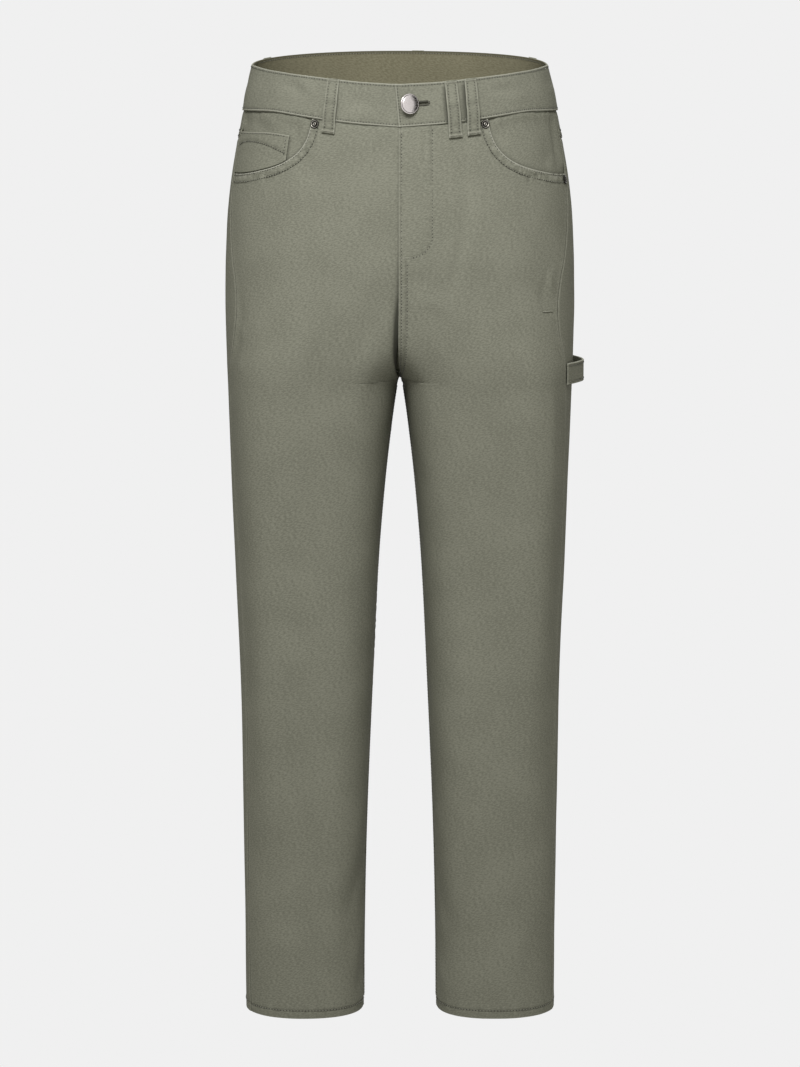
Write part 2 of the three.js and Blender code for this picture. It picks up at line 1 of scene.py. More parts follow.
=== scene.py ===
"""The looks of a pair of cotton twill work trousers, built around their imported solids.

Shapes are worked out in millimetres, in the frame of the solids, and turned into metres as each mesh is made.
+Z is up, the front faces -Y and the wearer's left is +X.
"""

import math

import bpy
import numpy as np
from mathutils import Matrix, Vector

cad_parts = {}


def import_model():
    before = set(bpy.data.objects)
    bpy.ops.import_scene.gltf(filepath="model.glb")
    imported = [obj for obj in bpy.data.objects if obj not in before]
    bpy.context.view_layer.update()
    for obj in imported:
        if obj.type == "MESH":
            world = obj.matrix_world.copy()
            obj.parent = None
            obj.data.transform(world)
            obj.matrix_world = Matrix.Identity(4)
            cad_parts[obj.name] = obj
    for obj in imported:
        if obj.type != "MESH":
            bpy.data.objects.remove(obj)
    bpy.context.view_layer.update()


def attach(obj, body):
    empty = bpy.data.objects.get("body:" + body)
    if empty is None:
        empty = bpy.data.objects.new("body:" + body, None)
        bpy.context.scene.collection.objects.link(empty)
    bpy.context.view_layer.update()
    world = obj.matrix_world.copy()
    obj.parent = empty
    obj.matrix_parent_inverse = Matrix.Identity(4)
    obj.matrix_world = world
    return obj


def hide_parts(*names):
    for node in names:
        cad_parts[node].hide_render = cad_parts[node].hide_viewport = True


METRE = 0.001  # one millimetre

# Cloth and seams
CLOTH = 1.2
LINER = 1.0  # pocket facings and the fly's shield
SEAM_GAP = 0.3
SEAM_CLOSED = 0.85  # the back comes this share of half a gap past the side seam, and no light shows
BAND_GAP = 0.6
STEP_IN = 2.05  # from a panel's face to the next layer's
HEM_TURN = 10
HEM_WALL = 2.0
BAND_OUT = 0.9
BAND_WALL = 2.2
BAND_LAP_TOP = 5.4
BAND_LAP_LOW = 1.4
BAND_UNDERLAP = 0.26
BAND_WAVER = 0.35
BAND_WAVES = (9.5, 0.05)  # how fast the waver turns round the ring and down it
BAND_PAST = 0.4  # its rolled lower edge comes this far down over the gap

# Levels, measured down the side seam from the waistband's top edge
BAND_BOTTOM = -47
FORK = -326
HEM = -1018
TILT_END = -262
FORK_HEIGHTS = (0, 0.4, 1.1, 2.0, 3.2, 4.8, 7)  # rows just over the fork, where its line turns
LEAD_START = -252  # from here down the lines of equal share leave the centre lines
LEAD_END = -439
YOKE_SIDE = -73
YOKE_CENTRE = -112
BACK_TUCK = 1.8  # the back panels' top edge runs up under the yokes
BACK_TUCK_DROP = 1.6

# Front pocket, coin pocket and fly, in shares of the front panel and in millimetres
SCOOP_REACH = 0.485
SCOOP_DROP = 65.5
SCOOP_SQUARE = 2.5
FACING_REACH = 0.55
FACING_DROP = 77.5
COIN_INNER = 0.625
COIN_TOP = -69
COIN_CLEAR = 1.0
COIN_SUNK = 0.1
FACING_SUNK = 0.5  # where the facing comes up to its seams
FLY_LOW = -186
FLY_WIDTH = 0.25
FLY_PROUD = 0.7
FLY_LAP = 1.8  # the left front's edge passes the centre line
SHIELD_PAST = 0.05

# Loops
LOOP_WIDTH = 13
LOOP_BEND = -27
LOOP_SHADOW = 1.3  # the dark under a front loop lies this far towards the centre
HAMMER_LEVEL = -320.5
HAMMER_WIDTH = 22.5
HAMMER_WALL = 2.0

# Metal
BUTTON_RADIUS = 10.4
BUTTON_ACROSS = 6.3
BUTTON_LEVEL = -22.8
BUTTON_HEIGHT = 7.6
BUTTON_LEAN = 25
NECK_RADIUS = 2.0
EYE_ACROSS = 7.3
EYE_RADIUS = 3.6
SLIT_LENGTH = 21
SLIT_HALF = 0.9
RIVET_RADIUS = 4.6
RIVET_DROP = 6.2
RIVET_INSET = 4.2
RIVET_FROM_SEAM = 6.4
RIVET_GROOVE = (1.75, 3.0)  # near-black: tarnished between these radii and in the middle, and darkened at the rim
RIVET_PIT = 0.6
RIVET_RIM = 0.7
BUTTON_GROOVE = (1.75, 1.2)  # how far in from the button's edge it is tarnished
# painted shade: the button's neck and the underside of its cap, up to this far over the cap's foot, are
# near-black
BUTTON_UNDER = 0.9

# Sewing
THREAD = 0.3  # the thread's radius
STITCH = 2.5  # a stitch's length
STITCH_PITCH = 3.4
# the pits are painted shade where the thread dips into the cloth
PIT_RADIUS = 0.42  # the dark pits between stitches
PIT_OVERLAP = 0.15
CAPSULE_SIDES = 5
CAPSULE_STOPS = [
    # share of the length, lift and girth in radii
    (0.0, -0.9, 0.5),
    (0.16, 0.25, 1.0),
    (0.5, 0.5, 1.05),
    (0.84, 0.25, 1.0),
    (1.0, -0.9, 0.5),
]

# Stitched rows, by their distances from the edge or seam beside them
INSEAM_ROWS = (1.8, 6.0)
RISE_ROWS = (1.6, 7.4)
YOKE_ROWS = (1.8, 7.6)
BAND_ROWS = (2.4, 2.2)  # from the waistband's top and lower edge
SCOOP_ROW = 8.5
HEM_ROW = 9.0
FLY_STITCH = 33.0
FLY_TURN = -168  # the level where the stitched curve leaves its straight run
FLY_END = -191
FLY_FOOT = 10.0  # where the stitched curve ends, across from the centre front
SIDE_TACK_LEVEL = -253
SIDE_TACK = (24, 10)  # a thin line of stitches runs between these distances from the side seam

# Cloth's weave
RIB_SLOPE = -17  # degrees
RIB_PITCH = 1.0

# Relief
CREASE_GAIN = 1.35
WAVER_STRETCH = 0.35  # the cloth's slow unevenness runs mostly down it
EDGE_ROLL = 0.45  # a panel's edges are rounded by this share of its thickness
RISE_TOP = -150  # the right front sinks along the rise from here down
RISE_FADE = 120
SLIT_TOP = -225  # and the slit over the fork, sunk and painted with shade, starts here
SLIT_FADE = 70

# Grids: places close to an edge, and on both sides of a mark that others keep clear of
EDGE_STATIONS = (0.15, 0.4, 0.8, 1.4, 2.2, 3.2, 4.6)
MARK_STATIONS = (-1.4, -0.5, 0.5, 1.4)
MARK_CLEAR = 2.0
FLY_SHARE = 200  # about how many millimetres one share of the front is, at the fly
BACK_STRAIGHT = -150  # the back panels' rows are level up to here, and slope with the yoke above
ARC_TOP = 20
ARC_ROWS = 521
ARC_STEPS = 60

# Colours as linear light: cloth where it is light and dark, and the worn colour that tone lifts it towards,
# as wear and painted highlight; thread; metal, its roughness and marks
SAGE = ((0.262, 0.264, 0.212), (0.188, 0.190, 0.150), (0.40, 0.40, 0.34))
# the waistband's inside: the same cloth, darker and yellower as painted shade
SAGE_INSIDE_SHADED = ((0.25, 0.235, 0.16), (0.19, 0.178, 0.118), (0.33, 0.31, 0.22))
# painted shade: the near-black pits between stitches
PIT_SHADE_COLOUR = (0.02, 0.02, 0.014)
SAGE_THREAD = (0.27, 0.27, 0.215)
DARK_THREAD = (0.06, 0.058, 0.042)
NICKEL = ((0.74, 0.69, 0.67), 0.24, 0.94)
AGED_NICKEL = ((0.30, 0.285, 0.25), 0.3, 0.8)
# near-black metal: tarnish in the grooves and pits, painted shade on the button's neck and underside, and the
# rivets' rims darkened
TARNISH_AND_SHADE = ((0.02, 0.018, 0.014), 0.55, 0.6)

# The photograph's view: its pixels are those of the 800 by 1067 frame
CAMERA_BACK = 3.5
CAMERA_PITCH = 8.08
FOCAL_PIXELS = 3302
LONG_SIDE_PIXELS = 1067
SENSOR = 36

# The studio, in metres
BACKDROP = 0.871  # the photograph's even background, as linear light
BACKDROP_RADIUS = 14
FLOOR_RADIUS = 13
FLOOR_LEVEL = -1.45
CARD_OUT = 3.2
CARD_BEHIND = 0.6
CARD_SIZE = 5
CARD_GLOW = 0.01
SKY_COLOUR = (1, 0.98, 0.90, 1)
SKY_STRENGTH = 0.35
LIGHTS = [
    # name, place, target, width, height, power
    ("key", (-0.15, -1.8, 1.25), (0, 0, -0.18), 1.1, 0.8, 48),
    ("back", (0.2, 2.2, 1.2), (0, 0, -0.4), 1.3, 1.2, 44),
]


def table(names, rows):
    """Rows of bare numbers as named columns."""
    return {name: np.array(column, float) for name, column in zip(names.split(), zip(*rows))}


# The half garment's horizontal section at each level, as in the solids
SECTIONS = table(
    "level outer inner front back middle square_front square_back square_in turn_left turn_right",
    [
        (20, 152.5, -152.5, -111, 112, 2, 2.1, 2.1, 2.1, 10, 10),
        (0, 154.6, -154.6, -112, 113, 2, 2.1, 2.1, 2.1, 10, 10),
        (-26, 161.0, -161.0, -114, 116, 2, 2.1, 2.1, 2.1, 10, 10),
        (-47, 164.6, -163.4, -116, 119, 2, 2.1, 2.1, 2.1, 9, 9),
        (-105, 175.7, -166.0, -120, 131, 4, 2.15, 2.15, 2.15, 10, 9),
        (-150, 181.5, -160.0, -122, 138, 5, 2.2, 2.2, 2.2, 14, 12),
        (-194, 184.0, -142.0, -122, 141, 6, 2.3, 2.25, 2.3, 21, 18),
        (-226, 184.8, -124, -120, 141, 8, 2.35, 2.3, 2.5, 28, 24),
        (-252, 185.0, -100, -118, 138, 9, 2.4, 2.3, 2.7, 33, 28),
        (-278, 184.7, -67, -115, 132, 10, 2.45, 2.3, 2.9, 36, 30),
        (-303, 184.2, -27, -112, 125, 11, 2.5, 2.35, 3.1, 38, 31),
        (-315, 183.9, -10.5, -110, 121, 10, 2.5, 2.35, 3.2, 39, 30),
        (-326, 183.5, 0, -108, 119, 10, 2.5, 2.35, 3.2, 39, 30),
        (-331, 183.3, 2.1, -107, 118, 10, 2.5, 2.35, 3.2, 39, 30),
        (-345, 182.8, 4.6, -105, 115, 10, 2.55, 2.4, 3.2, 38, 28),
        (-375, 181.7, 8.9, -102, 110, 8, 2.6, 2.4, 3.1, 36, 26),
        (-439, 179.4, 16.3, -94, 99, 5, 2.6, 2.4, 2.9, 31, 27),
        (-526, 176.3, 23.5, -84, 88, 3, 2.6, 2.4, 2.7, 28, 29),
        (-656, 171.8, 29.9, -73, 80, 4, 2.5, 2.35, 2.6, 26, 30),
        (-800, 169.8, 36.0, -63, 75, 7, 2.4, 2.3, 2.5, 24, 29),
        (-920, 168.6, 38.9, -55, 70, 8, 2.3, 2.3, 2.4, 22, 27),
        (-1018, 168.2, 39.6, -51, 67, 8, 2.2, 2.2, 2.3, 21, 27),
    ],
)
TILTS = table(
    "level front_dip edge back_rise",
    [
        (20, 20, 1, 14.3),
        (0, 19.4, 1, 15),
        (-47, 15.6, 0, 16),
        (-110, 12, 0, 14),
        (-200, 4, 0, 7),
        (-262, 0, 0, 0),
        (-1018, 0, 0, 0),
    ],
)
DIPS = table(
    "level top bottom",
    [
        (1, 0, 0),
        (0.9, 0.22, 0.01),
        (0.8, 0.36, 0.03),
        (0.7, 0.48, 0.17),
        (0.6, 0.58, 0.34),
        (0.5, 0.68, 0.5),
        (0.4, 0.77, 0.64),
        (0.25, 0.89, 0.81),
        (0, 1, 1),
    ],
)
FOLDS = table(
    "side angle_top level_top angle_end level_end half_width height",
    [
        (-1, 121, -250, 118, -840, 20, 3.0),
        (-1, 146, -270, 144, -860, 20, -3.0),
        (-1, 62, -330, 92, -620, 26, -2.2),
        (-1, 74, -700, 52, -1010, 18, 2.4),
        (-1, 100, -640, 84, -1000, 20, -1.8),
        (1, 124, -250, 116, -830, 20, 3.0),
        (1, 148, -260, 142, -860, 20, -3.2),
        (1, 88, -330, 74, -640, 24, -2.4),
        (1, 56, -560, 50, -1000, 18, 2.0),
        (-1, 236, -330, 240, -760, 26, 3.0),
        (-1, 285, -330, 292, -560, 24, 2.6),
        (-1, 262, -420, 264, -880, 26, -2.4),
        (1, 234, -340, 238, -780, 26, 3.0),
        (1, 287, -330, 290, -540, 24, 2.6),
        (1, 260, -400, 266, -860, 26, -2.4),
    ],
)
BELT_LOOPS = [
    # name, place, lean, longer
    ("front_right", -0.412, -0.4, 2),
    ("front_left_inner", 0.317, 1.2, 4.5),
    ("front_left_outer", 0.434, -1.6, 4),
    ("back_right", -1.3, 0, 2),
    ("back_left", 1.3, 0, 2),
    ("back_centre", 1.9, 0, 2),
]
LOOP_ROWS = table(
    "level stand_off wall",
    [
        (0.3, 1.3, 1.5),
        (-5, 1.4, 1.5),
        (-12, 3.0, 1.5),
        (-22, 4.4, 1.5),
        (-33, 4.5, 1.5),
        (-42, 3.2, 1.5),
        (-50, 1.0, 1.6),
        (-53, 0.4, 2.4),
        (-59, 0.4, 2.4),
    ],
)
LOOP_FOOT = LOOP_ROWS["level"][-1]
HAMMER_ROUTE = table(
    "share out",
    [
        (1.005, 0.5),
        (1.063, 3.2),
        (1.127, 7.0),
        (1.19, 9.7),
        (1.222, 9.9),
        (1.267, 8.8),
        (1.33, 5.8),
        (1.393, 2.6),
        (1.444, 0.5),
    ],
)

# Creases: from one place to another, bowed sideways by some millimetres, with the half width
# of the trough or ridge and its height. lean makes one flank steeper than the other.
CREASES = table(
    "side share_a level_a share_b level_b bow half_width height lean",
    [
        # the wearer's right leg, hip to hem
        (-1, 0.93, -262, 0.86, -285, 3, 5, 0.8, 0.3),
        (-1, 0.97, -230, 0.94, -330, -4, 6, -1, 0),
        (-1, 0.90, -300, 0.78, -318, 2, 5, 0.5, 0.2),
        (-1, 0.55, -60, 0.42, -118, 6, 13, -0.9, 0.2),
        (-1, 0.30, -56, 0.26, -150, 0, 12, 0.8, 0),
        (-1, 0.10, -52, 0.09, -105, 2, 7, -0.7, 0),
        (-1, 0.06, -190, 0.28, -262, 8, 12, 0.9, 0.2),
        (-1, 0.04, -232, 0.30, -322, 10, 12, -1, 0.2),
        (-1, 0.05, -285, 0.34, -400, 12, 14, 1.1, 0.2),
        (-1, 0.10, -360, 0.36, -470, 10, 16, -0.45, 0.2),
        (-1, 0.16, -500, 0.52, -560, 8, 18, 0.35, 0),
        (-1, 0.80, -470, 0.50, -540, -8, 18, 0.3, 0),
        (-1, 0.78, -560, 0.44, -650, -10, 20, -0.4, 0),
        (-1, 0.12, -600, 0.44, -690, 10, 18, -0.35, 0),
        (-1, 0.14, -760, 0.30, -880, 6, 13, 0.6, 0.2),
        (-1, 0.10, -840, 0.34, -930, 8, 13, -1.3, 0.2),
        (-1, 0.08, -900, 0.24, -985, 6, 11, 1.3, 0.2),
        (-1, 0.06, -955, 0.20, -1008, 4, 9, -1.2, 0),
        (-1, 0.86, -900, 0.66, -985, -8, 15, 0.8, 0),
        (-1, 0.90, -840, 0.74, -930, -8, 14, -0.35, 0),
        # the wearer's left leg
        (1, 0.31, -52, 0.30, -262, -4, 9, -1.5, 0.2),
        (1, 0.37, -60, 0.38, -240, -3, 10, 0.8, 0),
        (1, 0.135, -49, 0.14, -92, 1, 4, -0.9, 0.3),
        (1, 0.05, -205, 0.15, -232, 4, 9, -0.8, 0),
        (1, 0.10, -236, 0.30, -262, 6, 9, 1, 0.2),
        (1, 0.04, -246, 0.30, -340, 12, 12, -1, 0.2),
        (1, 0.05, -300, 0.32, -405, 12, 14, 1.1, 0.2),
        (1, 0.08, -372, 0.34, -486, 12, 16, -0.45, 0.2),
        (1, 0.90, -205, 0.97, -238, -5, 5, 1.2, 0.3),
        (1, 0.86, -215, 0.94, -262, -5, 6, -1, 0.2),
        (1, 0.84, -290, 0.86, -470, -3, 5, 0.6, 0),
        (1, 0.74, -350, 0.73, -520, 2, 9, -0.5, 0.4),
        (1, 0.20, -520, 0.54, -590, 9, 18, 0.35, 0),
        (1, 0.84, -520, 0.52, -610, -9, 18, -0.35, 0),
        (1, 0.16, -610, 0.46, -700, 9, 18, -0.4, 0),
        (1, 0.80, -640, 0.50, -720, -9, 18, 0.3, 0),
        (1, 0.12, -780, 0.34, -880, 8, 14, 0.5, 0.2),
        (1, 0.08, -860, 0.32, -950, 8, 13, -1, 0.2),
        (1, 0.88, -880, 0.68, -975, -8, 15, 0.8, 0),
        (1, 0.06, -950, 0.24, -1006, 5, 9, 0.9, 0),
        # the back, much the same on both sides but never alike
        (-1, 1.94, -255, 1.60, -300, -10, 13, -1.5, 0.2),
        (-1, 1.95, -285, 1.56, -345, -12, 14, 1.3, 0.2),
        (-1, 1.93, -330, 1.50, -400, -12, 16, -1.3, 0.2),
        (-1, 1.20, -330, 1.55, -380, 9, 15, 0.9, 0),
        (-1, 1.88, -560, 1.40, -600, -8, 15, -1.5, 0.2),
        (-1, 1.18, -585, 1.62, -640, 8, 15, 1.3, 0.2),
        (-1, 1.84, -640, 1.38, -690, -8, 16, -1.1, 0.2),
        (-1, 1.85, -860, 1.55, -930, -7, 14, 0.9, 0),
        (-1, 1.20, -880, 1.48, -970, 6, 14, -0.9, 0),
        (-1, 1.75, -130, 1.60, -220, 4, 18, 1, 0),
        (1, 1.94, -262, 1.62, -310, -10, 13, -1.4, 0.2),
        (1, 1.95, -294, 1.54, -360, -12, 15, 1.4, 0.2),
        (1, 1.92, -345, 1.48, -410, -12, 16, -1.2, 0.2),
        (1, 1.22, -350, 1.56, -395, 9, 15, 0.8, 0),
        (1, 1.86, -575, 1.38, -622, -8, 15, -1.4, 0.2),
        (1, 1.20, -600, 1.64, -664, 8, 15, 1.2, 0.2),
        (1, 1.82, -662, 1.42, -715, -8, 16, -1, 0.2),
        (1, 1.84, -850, 1.52, -940, -7, 14, 1, 0),
        (1, 1.22, -900, 1.50, -985, 6, 14, -0.9, 0),
        (1, 1.72, -140, 1.58, -230, 4, 18, 0.9, 0),
    ],
)

# Creases of the layer seen in the scooped pockets
FACING_CREASES = table(
    "side share_a level_a share_b level_b bow half_width height lean",
    [
        (-1, 0.60, -50, 0.55, -84, 3, 6, -1.0, 0.0),
        (-1, 0.88, -56, 0.68, -68, 3, 5, -0.7, 0.2),
        (-1, 0.84, -50, 0.64, -60, 3, 5, 0.5, 0.2),
        (-1, 0.98, -50, 0.97, -68, 0, 5, -0.4, 0.0),
        (1, 0.56, -52, 0.62, -78, -3, 6, -1.0, 0.2),
        (1, 0.60, -50, 0.78, -52, 2, 4, 0.6, 0.0),
        (1, 0.93, -50, 0.92, -112, 0, 6, -0.9, 0.2),
        (1, 0.72, -96, 0.86, -70, 3, 8, 0.7, 0.0),
        (1, 0.80, -108, 0.90, -88, 3, 6, -0.5, 0.0),
    ],
)

# Creases of the waistband, with places round the ring instead of shares
BAND_CREASES = table(
    "side share_a level_a share_b level_b bow half_width height lean",
    [
        (0, 3.30, -10, 3.42, -28, 2, 6, -1.0, 0.2),
        (0, 3.38, -6, 3.50, -26, 2, 6, 0.7, 0.2),
        (0, 3.22, -14, 3.28, -34, 1, 5, 0.5, 0.0),
        (0, 3.66, -26, 3.84, -24, 2, 7, -0.7, 0.0),
        (0, 3.70, -38, 3.92, -36, 1, 6, 0.6, 0.0),
        (0, 0.12, -12, 0.27, -16, 2, 6, -0.6, 0.0),
        (0, 0.50, -20, 0.72, -24, 3, 5, -0.6, 0.2),
        (0, 0.56, -8, 0.74, -14, 2, 5, 0.5, 0.0),
        (0, 0.62, -34, 0.80, -30, 2, 6, 0.5, 0.0),
        (0, 0.90, -16, 1.10, -22, 2, 6, -0.5, 0.0),
        (0, 1.36, -12, 1.50, -32, 2, 7, -0.6, 0.0),
        (0, 1.62, -30, 1.80, -18, 2, 7, 0.6, 0.0),
        (0, 2.16, -14, 2.32, -30, 2, 7, -0.6, 0.0),
        (0, 2.50, -30, 2.62, -12, 2, 7, 0.6, 0.0),
        (0, 2.86, -16, 2.98, -30, 2, 6, -0.5, 0.0),
    ],
)


def slopes(levels, values):
    """The slope at each row of a column, from the rows beside it."""
    low = np.maximum(np.arange(len(levels)) - 1, 0)
    high = np.minimum(np.arange(len(levels)) + 1, len(levels) - 1)
    return (values[high] - values[low]) / (levels[high] - levels[low])


def column(rows, name, level):
    """A smooth curve through one column of a table whose levels fall from row to row."""
    levels, values = rows["level"], rows[name]
    slope = slopes(levels, values)
    i = np.clip(np.searchsorted(-levels, -np.asarray(level, float)) - 1, 0, len(levels) - 2)
    span = levels[i + 1] - levels[i]
    t = np.clip((level - levels[i]) / span, 0, 1)
    start = values[i] * (1 + 2 * t) * (1 - t) ** 2 + slope[i] * span * t * (1 - t) ** 2
    end = values[i + 1] * t * t * (3 - 2 * t) + slope[i + 1] * span * t * t * (t - 1)
    return start + end


def mix(a, b, t):
    return a + (b - a) * t


def smooth_step(t):
    t = np.clip(t, 0, 1)
    return t * t * (3 - 2 * t)


def outline(level):
    """The shape of a section at each level."""
    s = {name: column(SECTIONS, name, level) for name in SECTIONS if name != "level"}
    s["centre"] = (s["outer"] + s["inner"]) / 2
    s["half"] = (s["outer"] - s["inner"]) / 2
    return s


def cut_angle(s, at_front):
    """How far round from the inside the centre line cuts a section's front or back, 0 under the fork."""
    cut = np.clip(s["centre"] / s["half"], 0, 1)
    reach = np.maximum(0, 1 - cut ** s["square_in"]) ** (1 / s["square_in"])
    depth = np.where(at_front, s["middle"] - s["front"], s["back"] - s["middle"])
    return np.where(s["inner"] < 0, np.arctan2(depth * reach, s["centre"]), 0)


def angle_at(side, share, level):
    """The angle for a share of a panel: 0 to 1 crosses the front and 1 to 2 the back. Lines of equal share
    run on past the fork as though the centre lines faded out slowly, and bend only close to the inseams.
    """
    at_front = np.asarray(share) <= 1
    seam = seam_angle(side, level)
    cut = cut_angle(outline(level), at_front)
    fade = smooth_step((level - LEAD_END) / (LEAD_START - LEAD_END))
    lead = np.where(level > LEAD_START, cut, cut_angle(outline(LEAD_START), at_front) * fade)
    inside = np.where(at_front, 1 - share, share - 1)
    shift = np.where(at_front, 1, -1) * (cut - lead) * inside**3
    return mix(seam, np.where(at_front, lead, 2 * math.pi - lead), inside) + shift


def section_point(side, angle, level):
    """Points of the smooth surface. side is 1 for the wearer's left and -1 for the right."""
    s = outline(level)
    at_front = np.sin(angle) > 0
    depth = np.where(at_front, s["middle"] - s["front"], s["back"] - s["middle"])
    outside = np.where(at_front, s["square_front"], s["square_back"])
    power = np.where(np.cos(angle) > 0, s["square_in"], outside)
    total = np.abs(np.cos(angle) / s["half"]) ** power + np.abs(np.sin(angle) / depth) ** power
    radius = total ** (-1 / power)
    x = s["centre"] - radius * np.cos(angle)
    y = s["middle"] - radius * np.sin(angle)
    across = np.clip(np.abs(x) / s["outer"], 0, 1)
    low, high = column(DIPS, "bottom", across), column(DIPS, "top", across)
    shape = mix(low, high, column(TILTS, "edge", level))
    rise = column(TILTS, "back_rise", level) * (np.abs(y - s["middle"]) / depth) ** 0.97
    lift = np.where(at_front, -column(TILTS, "front_dip", level) * shape, rise)
    z = level + np.where(level <= TILT_END, 0, lift)
    return np.stack([side * x, y, z], axis=-1)


def smooth_point(side, share, level):
    return section_point(side, angle_at(side, share, level), level)


def smooth_normal(side, share, level):
    angle = angle_at(side, share, level)
    du = section_point(side, angle + 0.004, level) - section_point(side, angle - 0.004, level)
    dv = section_point(side, angle, level + 0.6) - section_point(side, angle, level - 0.6)
    normal = np.cross(du, dv) * np.asarray(side)[..., None]
    return normal / np.linalg.norm(normal, axis=-1, keepdims=True)


def fold_height(side, share, level):
    """How far the large folds move the cloth out."""
    angle = np.degrees(angle_at(side, share, level))
    height = np.zeros(np.shape(level))
    for i in range(len(FOLDS["side"])):
        f = {name: values[i] for name, values in FOLDS.items()}
        t = (f["level_top"] - level) / (f["level_top"] - f["level_end"])
        away = (angle - mix(f["angle_top"], f["angle_end"], t)) / f["half_width"]
        fade = np.sin(math.pi * np.clip(t, 0, 1)) ** 0.8
        height += np.where(side == f["side"], f["height"] * np.exp(-away * away) * fade, 0)
    return height


def cloth_point(side, share, level, offset):
    """The finished surface, moved out by an offset."""
    side, share, level = np.broadcast_arrays(np.asarray(side, float), share, np.asarray(level, float))
    out = offset + fold_height(side, share, level)
    return smooth_point(side, share, level) + smooth_normal(side, share, level) * out[..., None]


def ring_side(place):
    """The side and the share of a place round the ring, 0 at the centre front and 1 at the left seam."""
    turned = np.mod(np.asarray(place, float) + 2, 4) - 2
    return np.where(turned < 0, -1.0, 1.0), np.abs(turned)


def ring_point(place, level, offset):
    side, share = ring_side(place)
    return cloth_point(side, share, level, offset)


def share_length(share, level):
    """Millimetres of cloth for one unit of share at a place."""
    a = smooth_point(1.0, np.asarray(share + 0.01), np.asarray(level, float))
    b = smooth_point(1.0, np.asarray(share - 0.01), np.asarray(level, float))
    return float(np.linalg.norm(a - b)) / 0.02


def front_place(across):
    """The ring place of a point some millimetres from the centre front."""
    return across / share_length(0.04, -24)


def seam_angle(side, level):
    left, right = column(SECTIONS, "turn_left", level), column(SECTIONS, "turn_right", level)
    return math.pi - np.radians(np.where(np.asarray(side) > 0, left, right))


def arcs_from_seam(side, half):
    """Millimetres of cloth between the side seam and each angle of a half, at each of a row of levels."""
    levels = np.linspace(HEM, ARC_TOP, ARC_ROWS)[:, None]
    seam = seam_angle(side, levels)
    steps = np.linspace(0, 1, ARC_STEPS + 1)[None, :]
    angles = mix(seam, 2 * math.pi, steps) if half else mix(0, seam, steps)
    points = section_point(float(side), *np.broadcast_arrays(angles, levels))
    lengths = np.linalg.norm(np.diff(points, axis=1), axis=-1)
    run = np.hstack([np.zeros((ARC_ROWS, 1)), np.cumsum(lengths, axis=1)])
    return run if half else run - run[:, -1:]


ARCS = {(side, half): arcs_from_seam(side, half) for side in (-1, 1) for half in (0, 1)}


def flat_across(side, share, level):
    """Millimetres across the flat cloth from the side seam, below 0 on the front."""
    side, share, level = np.broadcast_arrays(side, share, np.asarray(level, float))
    row = np.clip((level - HEM) / (ARC_TOP - HEM) * (ARC_ROWS - 1), 0, ARC_ROWS - 1.001)
    i = row.astype(int)
    angle, seam = angle_at(side, share, level), seam_angle(side, level)
    part = np.where(share > 1, (angle - seam) / (2 * math.pi - seam), angle / seam)
    step = np.clip(part * ARC_STEPS, 0, ARC_STEPS - 0.001)
    j = step.astype(int)
    across = np.zeros(share.shape)
    for (which, half), arcs in ARCS.items():
        low = mix(arcs[i, j], arcs[i, j + 1], step - j)
        high = mix(arcs[i + 1, j], arcs[i + 1, j + 1], step - j)
        across = np.where((side == which) & ((share > 1) == bool(half)), mix(low, high, row - i), across)
    return across


def share_at(side, half, across, level):
    """The share of a panel at a flat place across it."""
    low, high = np.full(np.shape(level), half + 1e-6), np.full(np.shape(level), half + 1.0)
    for _ in range(22):
        middle = (low + high) / 2
        short = flat_across(float(side), middle, level) < across
        low, high = np.where(short, middle, low), np.where(short, high, middle)
    return (low + high) / 2


def share_of(side, half, inside, level):
    """The share of a place some millimetres from the edge at a panel's middle: its inseam or centre line."""
    first = flat_across(float(side), half + (1e-6 if half == 0 else 1.0), level)
    return share_at(side, half, first + (inside if half == 0 else -inside), level)


def crease_height(creases, side, share, level, across):
    """The height of hand-laid creases. across(side, share, level) gives the flat place across the cloth."""
    height = np.zeros(np.shape(level))
    u, v = across(side, share, level), level
    for i in range(len(creases["side"])):
        c = {name: values[i] for name, values in creases.items()}
        a = np.array([across(c["side"], c["share_a"], c["level_a"]), c["level_a"]])
        b = np.array([across(c["side"], c["share_b"], c["level_b"]), c["level_b"]])
        length = np.linalg.norm(b - a)
        along, beside = (b - a) / length, np.array([a[1] - b[1], b[0] - a[0]]) / length
        t = ((u - a[0]) * along[0] + (v - a[1]) * along[1]) / length
        off = (u - a[0]) * beside[0] + (v - a[1]) * beside[1] - c["bow"] * 4 * t * (1 - t)
        wide = c["half_width"] * (1 + c["lean"] * np.sign(off))
        fade = np.sin(math.pi * np.clip(t, 0, 1)) ** 1.3
        same = (side == c["side"]) & ((share > 1) == (c["share_a"] > 1)) | (c["side"] == 0)
        height += np.where(same, c["height"] * np.exp(-((off / wide) ** 2)) * fade, 0)
    return CREASE_GAIN * height


def ripple(s, length, seed):
    """An uneven wave along a seam, between about -1 and 1."""
    random = np.random.default_rng(seed)
    total = np.zeros(np.shape(s))
    for share in (1.0, 0.62, 1.45, 2.3):
        total += np.sin(2 * math.pi * s / (length * share) + random.uniform(0, 2 * math.pi))
    return total / 2.4


def waver(u, v, seed):
    """Soft low unevenness of cloth that was never ironed flat."""
    random = np.random.default_rng(seed)
    total = np.zeros(np.shape(u))
    for length, height in ((150, 0.5), (95, 0.35), (60, 0.2), (34, 0.1), (21, 0.06)):
        for _ in range(3):
            turn = random.uniform(0, math.pi)
            phase = random.uniform(0, 2 * math.pi)
            along = u * math.cos(turn) + WAVER_STRETCH * v * math.sin(turn)
            total += height * np.sin(2 * math.pi * along / length + phase)
    return total / 1.7


def bump(d, centre, half_width):
    return np.exp(-(((d - centre) / half_width) ** 2))


def roll(d, radius):
    """How far a rounded edge turns in at a distance from it."""
    inside = radius - np.clip(d, 0, radius)
    return radius - np.sqrt(radius**2 - inside**2)


